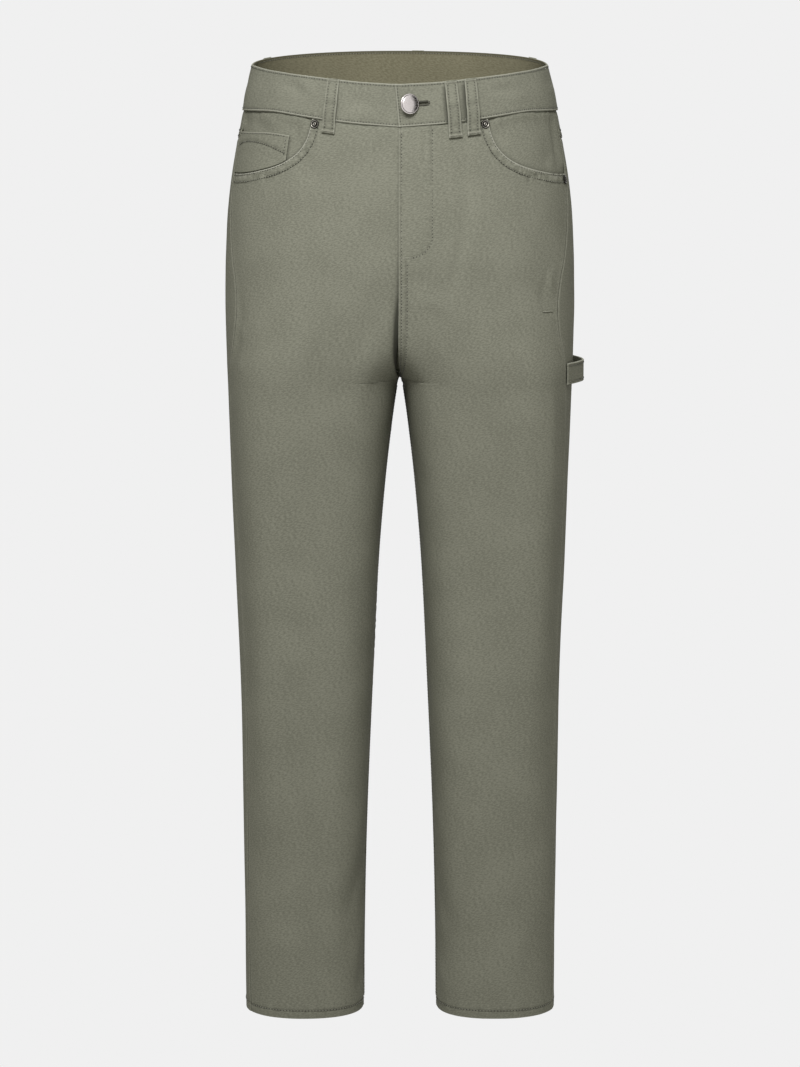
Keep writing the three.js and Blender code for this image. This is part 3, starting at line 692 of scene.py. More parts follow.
def stations(length, step, start=True, end=True, marks=()):
    """Places from 0 to 1 along a length: close together at rounded ends and at marked distances."""
    close = EDGE_STATIONS
    places = list(np.linspace(0, length, max(2, round(length / step) + 1)))
    if start:
        places = [0, *close, *(p for p in places if p > close[-1] + step / 3)]
    if end:
        last = length - close[-1] - step / 3
        places = [*(p for p in places if p < last), *(length - c for c in close[::-1]), length]
    for mark in marks:
        away = [p for p in places if abs(p - mark) > MARK_CLEAR]
        places = away + [mark + m for m in MARK_STATIONS]
    return np.array(sorted(places)) / length


# Meshes


def new_object(name, points, faces, material, uv=None, tone=None):
    """A smooth-shaded mesh from points in millimetres and faces of equal size. uv is in metres of cloth, and
    tone says where the cloth's colour is lifted, above 0, as wear and painted highlight, or darkened, below,
    as painted shade."""
    mesh = bpy.data.meshes.new(name)
    points = np.asarray(points, np.float32).reshape(-1, 3) * METRE
    faces = np.asarray(faces, np.int32)
    count, corners = faces.shape
    mesh.vertices.add(len(points))
    mesh.vertices.foreach_set("co", points.ravel())
    mesh.loops.add(count * corners)
    mesh.loops.foreach_set("vertex_index", faces.ravel())
    mesh.polygons.add(count)
    mesh.polygons.foreach_set("loop_start", np.arange(0, count * corners, corners, dtype=np.int32))
    mesh.polygons.foreach_set("use_smooth", np.ones(count, bool))
    mesh.update(calc_edges=True)
    if uv is not None:
        layer = mesh.uv_layers.new(name="cloth")
        layer.data.foreach_set("uv", np.asarray(uv, np.float32)[faces.ravel()].ravel())
    if tone is not None:
        attribute = mesh.attributes.new("tone", "FLOAT", "POINT")
        attribute.data.foreach_set("value", np.asarray(tone, np.float32))
    mesh.validate()
    made = bpy.data.objects.new(name, mesh)
    bpy.context.scene.collection.objects.link(made)
    mesh.materials.append(material)
    return made


def grid_faces(rows, columns, first=0, flip=False):
    index = first + np.arange(rows * columns).reshape(rows, columns)
    quads = np.stack([index[:-1, :-1], index[:-1, 1:], index[1:, 1:], index[1:, :-1]], axis=-1).reshape(-1, 4)
    return quads[:, ::-1] if flip else quads


def shell(name, outer, inner, material, uv, tone, flip, inner_tone=None):
    """A closed wall between an outer and an inner grid. flip turns the faces round, for grids that run the
    other way."""
    rows, columns = outer.shape[:2]
    count = rows * columns
    ring = np.concatenate(
        [
            np.arange(columns),
            columns - 1 + columns * np.arange(1, rows),
            (rows - 1) * columns + np.arange(columns - 2, -1, -1),
            columns * np.arange(rows - 2, 0, -1),
        ]
    )
    after = np.roll(ring, -1)
    rim = np.stack([ring, ring + count, after + count, after], axis=-1)
    faces = np.concatenate([grid_faces(rows, columns), grid_faces(rows, columns, count, True), rim])
    if flip:
        faces = faces[:, ::-1]
    points = np.concatenate([outer.reshape(-1, 3), inner.reshape(-1, 3)])
    uvs = np.concatenate([uv.reshape(-1, 2), uv.reshape(-1, 2)])
    tones = np.concatenate([tone.ravel(), (0.5 * tone if inner_tone is None else inner_tone).ravel()])
    return new_object(name, points, faces, material, uvs, tones)


def edge_distances(points):
    """Distances along the cloth from each edge of a grid: low, high, first and last."""
    down = np.linalg.norm(np.diff(points, axis=0), axis=-1)
    right = np.linalg.norm(np.diff(points, axis=1), axis=-1)
    low = np.vstack([np.zeros(points.shape[1]), np.cumsum(down, axis=0)])
    first = np.hstack([np.zeros((points.shape[0], 1)), np.cumsum(right, axis=1)])
    return low, low[-1] - low, first, first[:, -1:] - first


def nearest_edge(points):
    """Distances along the cloth from the nearest edge of a grid."""
    return np.minimum.reduce(list(edge_distances(points)))


def panel(name, side, share, level, relief, wall_at, material, sunk=0.0):
    """A cloth shell over grids of shares and levels. relief gives its height and tone from the grid's
    distances. sunk moves the whole wall in, by one distance or by one for each point."""
    side_at = np.full(share.shape, float(side))
    base = smooth_point(side_at, share, level)
    normal = smooth_normal(side_at, share, level)
    d = dict(zip(("low", "high", "first", "last"), edge_distances(base)))
    across = flat_across(side_at, share, level)
    height, tone = relief(side_at, share, level, across, d)
    height = height + fold_height(side_at, share, level)
    thick = wall_at(level)
    turned = roll(nearest_edge(base), EDGE_ROLL * np.min(thick))
    outer = base + normal * (height - sunk - turned)[..., None]
    inner = base + normal * (height - sunk - thick + turned)[..., None]
    uv = np.stack([side * across, level], axis=-1) * METRE
    made = shell(name, outer, inner, material, uv, tone, flip=side < 0)
    return made, area_of(base)


def area_of(points):
    """The area of a grid of points, in square metres."""
    a = points[1:, 1:] - points[:-1, :-1]
    b = points[1:, :-1] - points[:-1, 1:]
    return float(np.linalg.norm(np.cross(a, b), axis=-1).sum()) / 2 * METRE**2


# The pieces of cloth


def scoop_curve(reach, drop, count=400):
    """The pocket's edge from the side seam to the waistband as evenly spaced shares and levels."""
    angle = np.linspace(math.pi / 2, 0, 2001)
    share = 1 - reach * np.cos(angle) ** (2 / SCOOP_SQUARE)
    level = BAND_BOTTOM - drop * np.sin(angle) ** (2 / SCOOP_SQUARE)
    width = share_length(0.75, -80)
    run = np.concatenate([[0], np.cumsum(np.hypot(np.diff(share) * width, np.diff(level)))])
    even = np.linspace(0, run[-1], count)
    return np.interp(even, run, share), np.interp(even, run, level), even


def scoop_distance(side, share, level):
    """Distance from the pocket's edge, and the place along it, both in millimetres of flat cloth."""
    edge_share, edge_level, run = scoop_curve(SCOOP_REACH, SCOOP_DROP)
    edge = np.stack([flat_across(float(side), edge_share, edge_level), edge_level], axis=-1)
    place = np.stack([flat_across(float(side), share, level), level], axis=-1).reshape(-1, 2)
    best = np.full(len(place), 1e9)
    along = np.zeros(len(place))
    near = np.abs(place[:, 1] - BAND_BOTTOM) < SCOOP_DROP + 60
    gaps = np.linalg.norm(place[near][:, None, :] - edge[None, :, :], axis=-1)
    best[near] = gaps.min(axis=1)
    along[near] = run[gaps.argmin(axis=1)]
    return best.reshape(share.shape), along.reshape(share.shape)


def seam_relief(d, s, seed, ridge=0.35, reach=7.0):
    """A sewn edge: it turns in at the seam, stands a little proud beside it and puckers."""
    height = -0.55 * bump(d, 0, 1.1) + ridge * bump(d, 0.45 * reach, 0.45 * reach)
    height += 0.16 * ripple(s, 9, seed) * np.exp(-((d / (1.6 * reach)) ** 2))
    # painted shade in the seam's groove, and a lighter ridge beside it: wear and painted highlight
    tone = -0.8 * bump(d, 0, 0.7) + 0.30 * bump(d, 2.0, 1.3)
    return height, tone


def row_relief(d, s, seed, depth=0.35, pucker=0.15, reach=5.0, length=7.0):
    """A row of stitches pulls the cloth in and puckers it. d is the signed distance from the row."""
    height = -depth * bump(d, 0, 1.2) + pucker * ripple(s, length, seed) * np.exp(-((d / reach) ** 2))
    # painted shade where the row pulls the cloth in, and painted light and shade over the puckers
    tone = -0.35 * bump(d, 0, 1.0) + 0.10 * ripple(s, length, seed) * np.exp(-((d / reach) ** 2))
    return height, tone


def fly_curve(count=160):
    """The stitched curve of the fly, as millimetres across from the centre front and levels."""
    straight = np.stack([np.full(40, FLY_STITCH), np.linspace(BAND_BOTTOM - 2, FLY_TURN, 40)], axis=-1)
    angle = np.linspace(0, math.pi / 2, 40)[1:]
    reach, drop = FLY_STITCH - FLY_FOOT, FLY_TURN - FLY_END
    turn = np.stack([FLY_FOOT + reach * np.cos(angle), FLY_TURN - drop * np.sin(angle)], axis=-1)
    return resampled(np.concatenate([straight, turn]), count)


def run_along(points):
    """The millimetres run along a line, at each of its points."""
    return np.concatenate([[0], np.cumsum(np.linalg.norm(np.diff(points, axis=0), axis=-1))])


def resampled(points, count):
    run = run_along(points)
    even = np.linspace(0, run[-1], count)
    return np.stack([np.interp(even, run, points[:, k]) for k in range(points.shape[1])], axis=-1)


def curve_distance(u, v, curve):
    """Distance from a flat curve, and the millimetres run along it."""
    run = run_along(curve)
    low, high = curve.min(axis=0) - 15, curve.max(axis=0) + 15
    place = np.stack([u, v], axis=-1).reshape(-1, 2)
    near = np.all((place > low) & (place < high), axis=1)
    best, along = np.full(len(place), 1e3), np.zeros(len(place))
    if near.any():
        gaps = np.linalg.norm(place[near][:, None, :] - curve[None, :, :], axis=-1)
        best[near] = gaps.min(axis=1)
        along[near] = run[gaps.argmin(axis=1)]
    return best.reshape(u.shape), along.reshape(u.shape)


def adder(height, tone):
    """A function that adds a pair of height and tone to both arrays, in full or by a weight."""

    def add(relief, where=1.0):
        height[...] += relief[0] * where
        tone[...] += relief[1] * where

    return add


def front_relief(side, share, level, u, d):
    """Everything sewn and creased on a front panel, as heights and tones."""
    which = float(side.flat[0])
    seed = 11 if which > 0 else 12
    height = crease_height(CREASES, side, share, level, flat_across) + 0.55 * waver(u, level, seed)
    tone = np.zeros(share.shape)
    add = adder(height, tone)
    scoop, scoop_run = scoop_distance(which, share, level)
    below_pocket = smooth_step((BAND_BOTTOM - SCOOP_DROP - level) / 4)
    add(seam_relief(d["last"], level, seed + 1, ridge=0.3, reach=5.0), below_pocket)
    leg = smooth_step((FORK - 6 - level) / 10)
    add(seam_relief(d["first"], level, seed + 2, ridge=0.5, reach=8.0), leg)
    for i, row in enumerate(INSEAM_ROWS):
        add(row_relief(d["first"] - row, level, seed + 3 + i, depth=0.3, pucker=0.22), leg)
    if which > 0:
        height += FLY_PROUD * np.clip(1 - share / FLY_WIDTH, 0, 1) * smooth_step((level - FORK) / 30)
        above = 1 - leg
        # the fly's edge lighter: wear and painted highlight
        tone += 0.55 * bump(d["first"], 0.3, 0.9) * above
        for i, row in enumerate(RISE_ROWS):
            where = above * (1 if i == 0 else smooth_step((FLY_END + 4 - level) / 6))
            add(row_relief(d["first"] - row, level, seed + 6 + i, depth=0.35, pucker=0.2), where)
        fly, fly_run = curve_distance(d["first"], level, fly_curve())
        add(row_relief(fly, fly_run, seed + 9, depth=0.4, pucker=0.16))
        height += 0.35 * bump(d["first"], 15, 16) * smooth_step((level - FLY_END) / 10)
    else:
        rise = smooth_step((RISE_TOP - level) / RISE_FADE)
        slit = smooth_step((SLIT_TOP - level) / SLIT_FADE) * (1 - leg)
        height -= (0.5 * bump(d["first"], 0, 4) + 2.2 * rise * bump(d["first"], 0, 9)) * (1 - leg)
        height -= 2.6 * slit * bump(d["first"], 0, 6)
        # painted shade along the rise where the left front laps over, and a painted dark slit over the fork
        tone -= (0.6 + 0.5 * rise) * bump(d["first"], 0, 1.6 + 2.5 * rise) * (1 - leg)
        tone -= 2.5 * slit * bump(d["first"], 1, 4.5)
    pocket = smooth_step((level - (BAND_BOTTOM - SCOOP_DROP - 16)) / 4)
    height += pocket * 0.45 * smooth_step((SCOOP_ROW - scoop) / 2.0)
    puckers = ripple(scoop_run, 9, seed + 10)
    height += pocket * 0.42 * puckers * bump(scoop, 4.5, 4.0)
    add(row_relief(scoop - SCOOP_ROW, scoop_run, seed + 11, depth=0.5, pucker=0.25, length=8), pocket)
    # the scoop's edge lighter, wear and painted highlight, and painted light and shade over its puckers
    tone += pocket * (1.15 * bump(scoop, 0.6, 1.1) - 0.25 * puckers * bump(scoop, 5, 3))
    waist = level - BAND_BOTTOM
    height += -0.7 * bump(waist, 0, 3.0) + 0.30 * ripple(u, 17, seed + 12) * np.exp(-((waist / 26) ** 2))
    # painted shadow under the waistband's edge
    tone += -0.55 * bump(waist, 0, 1.6)
    hem = level - HEM
    add(row_relief(hem - HEM_ROW, u, seed + 13, depth=0.4, pucker=0.22, reach=6, length=11))
    # the hem's fold lighter, wear and painted highlight; the band below the stitched row a little darker
    tone += 0.55 * bump(hem, 0, 0.8) - 0.12 * smooth_step((HEM_ROW - hem) / 1.5)
    return height, tone


def back_relief(side, share, level, u, d):
    which = float(side.flat[0])
    seed = 31 if which > 0 else 32
    height = crease_height(CREASES, side, share, level, flat_across) + 0.55 * waver(u, level, seed)
    tone = np.zeros(share.shape)
    add = adder(height, tone)
    add(seam_relief(d["first"], level, seed + 1, ridge=0.25, reach=4.0))
    add(seam_relief(d["last"], level, seed + 2, ridge=0.3, reach=5.0))
    if which > 0:
        above = smooth_step((level - FORK) / 20)
        for i, row in enumerate(RISE_ROWS):
            add(row_relief(d["last"] - row, level, seed + 3 + i, depth=0.35, pucker=0.2), above)
    add(row_relief(d["high"] - BACK_TUCK, u, seed + 5, depth=0.6, pucker=0.25, reach=9, length=13))
    height -= BACK_TUCK_DROP * smooth_step((BACK_TUCK + 0.5 - d["high"]) / 0.9)
    hem = level - HEM
    add(row_relief(hem - HEM_ROW, u, seed + 6, depth=0.4, pucker=0.22, reach=6, length=11))
    # the hem's fold lighter: wear and painted highlight
    tone += 0.55 * bump(hem, 0, 0.8)
    return height, tone


def leg_levels(top):
    """Levels from the hem up, close together at the hem's edge and fold."""
    levels = HEM + (top - HEM) * stations(top - HEM, 2.6, end=False, marks=(HEM_ROW, HEM_TURN))
    close = FORK + np.array(FORK_HEIGHTS)
    away = levels[(levels < FORK - 1) | (levels > close[-1] + 1)]
    return np.sort(np.concatenate([away, close]))


def leg_wall(level):
    return mix(HEM_WALL, CLOTH, smooth_step((level - HEM - HEM_TURN) / 1.5))


def even_wall(thick):
    return lambda level: np.full(np.shape(level), thick)


def grid_between(starts, ends, places):
    """Grids of shares and levels from rows that each run from a start to an end."""
    starts, ends = np.asarray(starts)[:, None, :], np.asarray(ends)[:, None, :]
    at = mix(starts, ends, places[None, :, None])
    return at[..., 0], at[..., 1]


def half_gap(share, level):
    return np.array([SEAM_GAP / 2 / share_length(share, at) for at in level])


def front_panel(side, word, material):
    low = BAND_BOTTOM - SCOOP_DROP
    levels = leg_levels(low - 8)
    edge_share, edge_level, _ = scoop_curve(SCOOP_REACH, SCOOP_DROP, 84)
    top = BAND_BOTTOM - BAND_GAP
    centre = np.concatenate([levels, np.linspace(low, top, 84)])
    first = half_gap(0.01, centre)
    if side > 0:
        first = first - FLY_LAP / FLY_SHARE * smooth_step((centre - FORK - 3) / 12)
    starts = np.stack([first, centre], axis=-1)
    seam = np.stack([1 - half_gap(1, levels), levels], axis=-1)
    scoop = np.stack([edge_share - half_gap(1, edge_level), np.minimum(edge_level, top)], axis=-1)
    places = stations(230, 3.6, marks=(INSEAM_ROWS[1] + 3,))
    share, level = grid_between(starts, np.concatenate([seam, scoop]), places)
    return panel(f"cloth_front_{word}", side, share, level, front_relief, leg_wall, material)


def back_panel(side, word, material):
    straight = leg_levels(BACK_STRAIGHT)
    steps = np.append(np.linspace(0, 1, 30)[1:-1], [0.972, 0.98, 0.988, 1])
    seam = np.concatenate([straight, mix(BACK_STRAIGHT, YOKE_SIDE - SEAM_GAP + BACK_TUCK, steps)])
    centre = np.concatenate([straight, mix(BACK_STRAIGHT, YOKE_CENTRE - SEAM_GAP + BACK_TUCK, steps)])
    starts = np.stack([1 - SEAM_CLOSED * half_gap(1, seam), seam], axis=-1)
    ends = np.stack([2 - half_gap(0.01, centre), centre], axis=-1)
    share, level = grid_between(starts, ends, stations(240, 4.6))
    return panel(f"cloth_back_{word}", side, share, level, back_relief, leg_wall, material)


def yoke_relief(side, share, level, u, d):
    seed = 41 if side.flat[0] > 0 else 42
    height = 0.5 * waver(u, level, seed)
    height += -0.6 * bump(d["high"], 0, 3) + 0.3 * ripple(u, 17, seed) * np.exp(-((d["high"] / 22) ** 2))
    # painted shadow under the waistband's edge, and the lower edge lighter: wear and painted highlight
    tone = -0.5 * bump(d["high"], 0, 1.6) + 0.6 * bump(d["low"], 0.4, 0.9)
    for i, row in enumerate(YOKE_ROWS):
        h, t = row_relief(d["low"] - row, u, seed + 1 + i, depth=0.35, pucker=0.2)
        height += h + (0.3 * smooth_step((YOKE_ROWS[1] - d["low"]) / 2) if i else 0)
        tone += t
    return height, tone


def yoke(side, word, material):
    steps = stations(60, 2.6)
    seam = mix(YOKE_SIDE, BAND_BOTTOM - BAND_GAP, steps)
    centre = mix(YOKE_CENTRE, BAND_BOTTOM - BAND_GAP, steps)
    starts = np.stack([1 + half_gap(1, seam), seam], axis=-1)
    ends = np.stack([2 - half_gap(0.01, centre), centre], axis=-1)
    share, level = grid_between(starts, ends, stations(220, 3.0))
    return panel(f"cloth_yoke_{word}", side, share, level, yoke_relief, even_wall(CLOTH), material)


def facing_relief(side, share, level, u, d):
    seed = 51 if side.flat[0] > 0 else 52
    height = crease_height(FACING_CREASES, side, share, level, flat_across) + 0.4 * waver(u, level, seed)
    waist = level - BAND_BOTTOM
    height += -0.5 * bump(waist, 0, 2.5) + 0.35 * ripple(u, 15, seed + 1) * np.exp(-((waist / 16) ** 2))
    scoop, _ = scoop_distance(float(side.flat[0]), share, level)
    # painted shadow under the waistband and under the scoop's edge
    tone = -0.45 * bump(waist, 0, 1.8) - 0.55 * bump(scoop, 0, 2.4)
    # painted shadow beside the coin pocket's inner edge
    if side.flat[0] < 0:
        beside = flat_across(-1.0, np.array(COIN_INNER), level) - u
        tone -= 0.6 * bump(beside, 0, 1.7) * smooth_step((COIN_TOP - level) / 2)
    return np.minimum(height, 0.55), tone


def facing_depth(side, share, level):
    """The facing lies under the front, and comes up to the seams that hold it beside the opening."""
    gap, _ = scoop_distance(side, share, level)
    inside = smooth_step((gap - 3) / 9) * ((level > scoop_level(share)) & (share > 1 - SCOOP_REACH))
    to_band = smooth_step(1 - (BAND_BOTTOM - level) / 14)
    to_seam = smooth_step(1 + flat_across(float(side), share, level) / 14)
    if side < 0:
        to_seam = to_seam * smooth_step((level - COIN_TOP - 1) / 4)
        to_band = to_band * smooth_step((level - COIN_TOP - 1) / 4)
    return STEP_IN - (STEP_IN - FACING_SUNK) * inside * np.maximum(to_band, to_seam)


def pocket_facing(side, word, material):
    edge_share, edge_level, _ = scoop_curve(FACING_REACH, FACING_DROP, 60)
    edge_share, edge_level = edge_share[4:], np.minimum(edge_level[4:], BAND_BOTTOM - BAND_GAP)
    starts = np.stack([edge_share, edge_level], axis=-1)
    ends = np.stack([1 - half_gap(1, edge_level), edge_level], axis=-1)
    share, level = grid_between(starts, ends, stations(150, 2.4))
    depth = facing_depth(side, share, level)
    name = f"cloth_facing_{word}"
    return panel(name, side, share, level, facing_relief, even_wall(LINER), material, sunk=depth)


def scoop_level(share):
    along = np.clip((1 - share) / SCOOP_REACH, 0, 1)
    return BAND_BOTTOM - SCOOP_DROP * (1 - along**SCOOP_SQUARE) ** (1 / SCOOP_SQUARE)


def coin_row():
    """The arched row of stitches across the coin pocket, as shares and levels."""
    t = np.linspace(0, 1, 60)
    share = mix(0.985, COIN_INNER + 0.012, t)
    return share, COIN_TOP - 15 + 5.5 * np.sin(math.pi * t**0.7) - 3.5 * t**3


def coin_relief(side, share, level, u, d):
    height = 0.3 * waver(u, level, 61)
    row_share, row_level = coin_row()
    row = np.stack([flat_across(-1.0, row_share, row_level), row_level], axis=-1)
    gap, run = curve_distance(u, level, row)
    above = smooth_step((level - np.interp(-share, -row_share, row_level)) / 2 + 0.5)
    height += 0.35 * above + 0.5 * bump(gap, 5, 3.5) * (1 - above)
    h, tone = row_relief(gap, run, 62, depth=0.45, pucker=0.2)
    height += h
    # the top and inner edges lighter, wear and painted highlight, and painted shade beside the stitched row
    tone += 0.75 * bump(d["high"], 0, 0.9) + 0.3 * bump(d["first"], 0, 0.8) - 0.2 * bump(gap, 2.5, 1.5)
    return height, tone


def coin_pocket(material):
    share = mix(COIN_INNER, 1 - half_gap(1, [COIN_TOP])[0], stations(104, 2.2))
    up = stations(40, 1.6)
    low = scoop_level(share) + COIN_CLEAR
    level = mix(low[None, :], COIN_TOP, up[:, None])
    share = np.broadcast_to(share[None, :], level.shape)
    wall = even_wall(STEP_IN - SEAM_GAP - COIN_SUNK)
    return panel("cloth_coin_pocket", -1, share, level, coin_relief, wall, material, sunk=COIN_SUNK)


def fly_shield(material):
    place = mix(-SHIELD_PAST, FLY_WIDTH, stations(50, 3))
    level = mix(FLY_LOW + 4, BAND_BOTTOM - BAND_GAP, stations(134, 4))
    place, level = np.broadcast_arrays(place[None, :], level[:, None])
    base = ring_point(place, level, 0.0)
    turned = roll(nearest_edge(base), 0.4)
    outer = ring_point(place, level, -STEP_IN - turned)
    inner = ring_point(place, level, -STEP_IN - LINER + turned)
    uv = np.stack([place * share_length(0.1, -80), level], axis=-1) * METRE
    made = shell("cloth_fly_shield", outer, inner, material, uv, np.zeros(place.shape), flip=False)
    return made, area_of(base)


RING_UNIT = share_length(0.5, -24)


def band_across(side, place, level):
    return np.asarray(place, float) * RING_UNIT


def band_relief(place, level):
    """The waistband's face: rolled edges, a stitched row along each and soft creases between."""
    u = place * RING_UNIT
    top, low = -level, level - BAND_BOTTOM
    side = np.zeros(place.shape)
    height = crease_height(BAND_CREASES, side, place, level, band_across) + 0.25 * waver(u, level, 71)
    tone = np.zeros(place.shape)
    for d, row, seed in ((top, BAND_ROWS[0], 72), (low, BAND_ROWS[1], 73)):
        h, t = row_relief(d - row, u, seed, depth=0.3, pucker=0.13, reach=4, length=6)
        height += h + 0.25 * bump(d, 0.9, 0.9)
        # the band's edges lighter: wear and painted highlight
        tone += t + 0.95 * bump(d, 0.8, 0.8)
    # painted shadow under each belt loop, reaching a little towards the centre beside the front loops
    for _, loop_place, lean, _ in BELT_LOOPS:
        towards = -np.sign(loop_place) * LOOP_SHADOW * (abs(loop_place) < 1)
        beside = (place - loop_place) * RING_UNIT - lean * level / LOOP_FOOT - towards
        hidden = np.exp(-((beside / 8.4) ** 6)) * smooth_step((-2 - level) / 5)
        tone = mix(tone, -1.0, hidden)
    return height, tone


def band_tuck(place):
    start, length = 3.84, 0.1
    return smooth_step((place - start) / length)


def band_lap(level):
    """How far past the centre line the waistband's left end comes."""
    return mix(BAND_LAP_TOP, BAND_LAP_LOW, level / BAND_BOTTOM)


def band_face(place, level):
    """How far out the waistband's face stands, before its relief."""
    waved = BAND_WAVER * np.sin(BAND_WAVES[0] * place + BAND_WAVES[1] * level)
    return BAND_OUT - (BAND_WALL + 2 * SEAM_GAP) * band_tuck(place) + waved


def waistband(outside, inside):
    """One strip: its left end laps over the front, and its right end runs on beneath it."""
    level = mix(BAND_BOTTOM - BAND_PAST, 0.0, stations(47, 2.2))[:, None]
    start = front_place(-band_lap(level))
    along = stations(900, 2.9, marks=(12,))[None, :]
    place = mix(start, 4 + BAND_UNDERLAP, along)
    level = np.broadcast_to(level, place.shape)
    base = ring_point(place, level, 0.0)
    height, tone = band_relief(place, level)
    _, high, first, _ = edge_distances(base)
    # the lapping end's edge lighter: wear and painted highlight
    tone += 0.8 * bump(first, 0.3, 0.8)
    turned = roll(nearest_edge(base), 0.9)
    face = band_face(place, level)
    hidden = band_tuck(place)
    start_relief = np.where(hidden > 0, np.minimum(height, 0.1), height)
    outer = ring_point(place, level, face + start_relief - turned)
    soft = 0.5 * ripple(place * RING_UNIT, 46, 74) + 0.4 * waver(place * RING_UNIT, level, 75)
    soft = soft * smooth_step(-level / 20) * (1 - hidden)
    inner = ring_point(place, level, face - BAND_WALL + turned - 0.25 + 0.5 * np.minimum(soft, 0.5))
    uv = np.stack([place * RING_UNIT, level], axis=-1) * METRE
    # painted shade on the inner face along its top edge and its stitched row
    dark = -1.0 * bump(high, 0.4, 1.1) - 0.5 * bump(high - BAND_ROWS[0], 0, 0.9)
    made = shell("cloth_waistband", outer, inner, outside, uv, tone, flip=False, inner_tone=dark)
    # the inner face takes the cloth's shaded copy: painted shade
    made.data.materials.append(inside)
    rows, columns = place.shape
    faces = (rows - 1) * (columns - 1)
    slots = np.zeros(len(made.data.polygons), np.int32)
    slots[faces : 2 * faces] = 1
    made.data.polygons.foreach_set("material_index", slots)
    cut = keyhole_cutter()
    modifier = made.modifiers.new("buttonhole", "BOOLEAN")
    modifier.object = cut
    modifier.operation = "DIFFERENCE"
    modifier.solver = "EXACT"
    apply_modifiers(made)
    bpy.data.objects.remove(cut)
    return made, area_of(base)


def apply_modifiers(made):
    graph = bpy.context.evaluated_depsgraph_get()
    cut = made.evaluated_get(graph)
    new = bpy.data.meshes.new_from_object(cut, preserve_all_data_layers=True, depsgraph=graph)
    old = made.data
    made.modifiers.clear()
    made.data = new
    bpy.data.meshes.remove(old)


def keyhole_outline(grow=0.0, count=26):
    """The buttonhole's outline as millimetres across and levels, grown outwards."""
    radius, half = EYE_RADIUS + grow, SLIT_HALF + grow
    opening = math.asin(min(half / radius, 1))
    angle = np.linspace(opening, 2 * math.pi - opening, count)
    eye = np.stack([EYE_ACROSS + radius * np.cos(angle), BUTTON_LEVEL + radius * np.sin(angle)], axis=-1)
    end = EYE_ACROSS + SLIT_LENGTH + grow
    tip = np.array([[end, BUTTON_LEVEL - half], [end, BUTTON_LEVEL + half]])
    return np.concatenate([eye, tip])


def keyhole_cutter():
    outline = keyhole_outline()
    place, level = front_place(outline[:, 0]), outline[:, 1]
    low = ring_point(place, level, BAND_OUT - BAND_WALL - 0.3)
    high = ring_point(place, level, BAND_OUT + 4)
    count = len(outline)
    mesh = bpy.data.meshes.new("cutter")
    ring = [(i, (i + 1) % count, count + (i + 1) % count, count + i) for i in range(count)]
    caps = [tuple(range(count - 1, -1, -1)), tuple(range(count, 2 * count))]
    mesh.from_pydata([tuple(p * METRE) for p in np.concatenate([low, high])], [], ring + caps)
    mesh.update()
    made = bpy.data.objects.new("cutter", mesh)
    bpy.context.scene.collection.objects.link(made)
    return made


def loop_bend(level, lean):
    """A belt loop's soft bend where it stands off most."""
    return 0.5 * bump(level, LOOP_BEND, 5) * np.sign(lean + 0.1)


def belt_loop(name, place, lean, longer, material):
    """A loop lies on the band at both ends and bows out between."""
    unit = share_length(float(ring_side(place)[1]), -20)
    down = stations(60, 1.6, marks=(54,))[::-1, None]
    level = mix(0.3, LOOP_FOOT, down)
    across = LOOP_WIDTH * (stations(LOOP_WIDTH, 0.9) - 0.5)[None, :]
    at = place + (across + lean * down) / unit
    at, level = np.broadcast_arrays(at, level)
    stand = column(LOOP_ROWS, "stand_off", level)
    wall = column(LOOP_ROWS, "wall", level)
    beside = LOOP_WIDTH / 2 - np.abs(across)
    height = 0.22 * bump(beside, 0.9, 0.9) - 0.28 * bump(beside, 2.6, 0.7) + loop_bend(level, lean)
    height = height + 0.5 * bump(level, LOOP_FOOT + 2.2, 1.4) - 0.5 * bump(level, LOOP_FOOT + 5.2, 1.2)
    # the loop's edges and the ridge at its foot lighter, wear and painted highlight; painted shade along its
    # stitched rows, in the fold at its foot and at its bend
    tone = 0.75 * bump(beside, 0.2, 0.7) - 0.3 * bump(beside, 2.6, 0.7) + 0 * level
    tone = tone + 0.4 * bump(level, LOOP_FOOT + 2.2, 1.2) - 0.5 * bump(level, LOOP_FOOT + 5.0, 1.0)
    tone = tone - 0.3 * bump(level, LOOP_BEND, 2)
    lowered = level - longer * np.clip(level / LOOP_FOOT, 0, 1)
    base = ring_point(at, lowered, stand)
    turned = roll(nearest_edge(base), 0.65)
    outer = ring_point(at, lowered, stand + wall + height - turned)
    inner = ring_point(at, lowered, stand + turned)
    uv = np.stack([np.broadcast_to(across, level.shape), level], axis=-1) * METRE
    made = shell(f"cloth_loop_{name}", outer, inner, material, uv, tone, flip=False)
    return made, area_of(base)


def hammer_points(count=70):
    """The middle line of the hammer loop."""
    share, out = HAMMER_ROUTE["share"], HAMMER_ROUTE["out"]
    knots = cloth_point(1.0, share, np.full(share.shape, float(HAMMER_LEVEL)), out)
    run = run_along(knots)
    fine = np.linspace(0, run[-1], 400)
    slope = np.gradient(knots, run, axis=0)
    i = np.clip(np.searchsorted(run, fine) - 1, 0, len(run) - 2)
    span = (run[i + 1] - run[i])[:, None]
    t = (fine - run[i])[:, None] / span
    points = knots[i] * (1 + 2 * t) * (1 - t) ** 2 + slope[i] * span * t * (1 - t) ** 2
    points += knots[i + 1] * t * t * (3 - 2 * t) + slope[i + 1] * span * t * t * (t - 1)
    return resampled(points, count)


def hammer_outwards(line):
    """Level directions away from the leg, along the hammer loop's middle line."""
    along = np.gradient(line, axis=0)
    out = np.stack([along[:, 1], -along[:, 0], np.zeros(len(line))], axis=-1)
    return out / np.linalg.norm(out, axis=-1, keepdims=True)


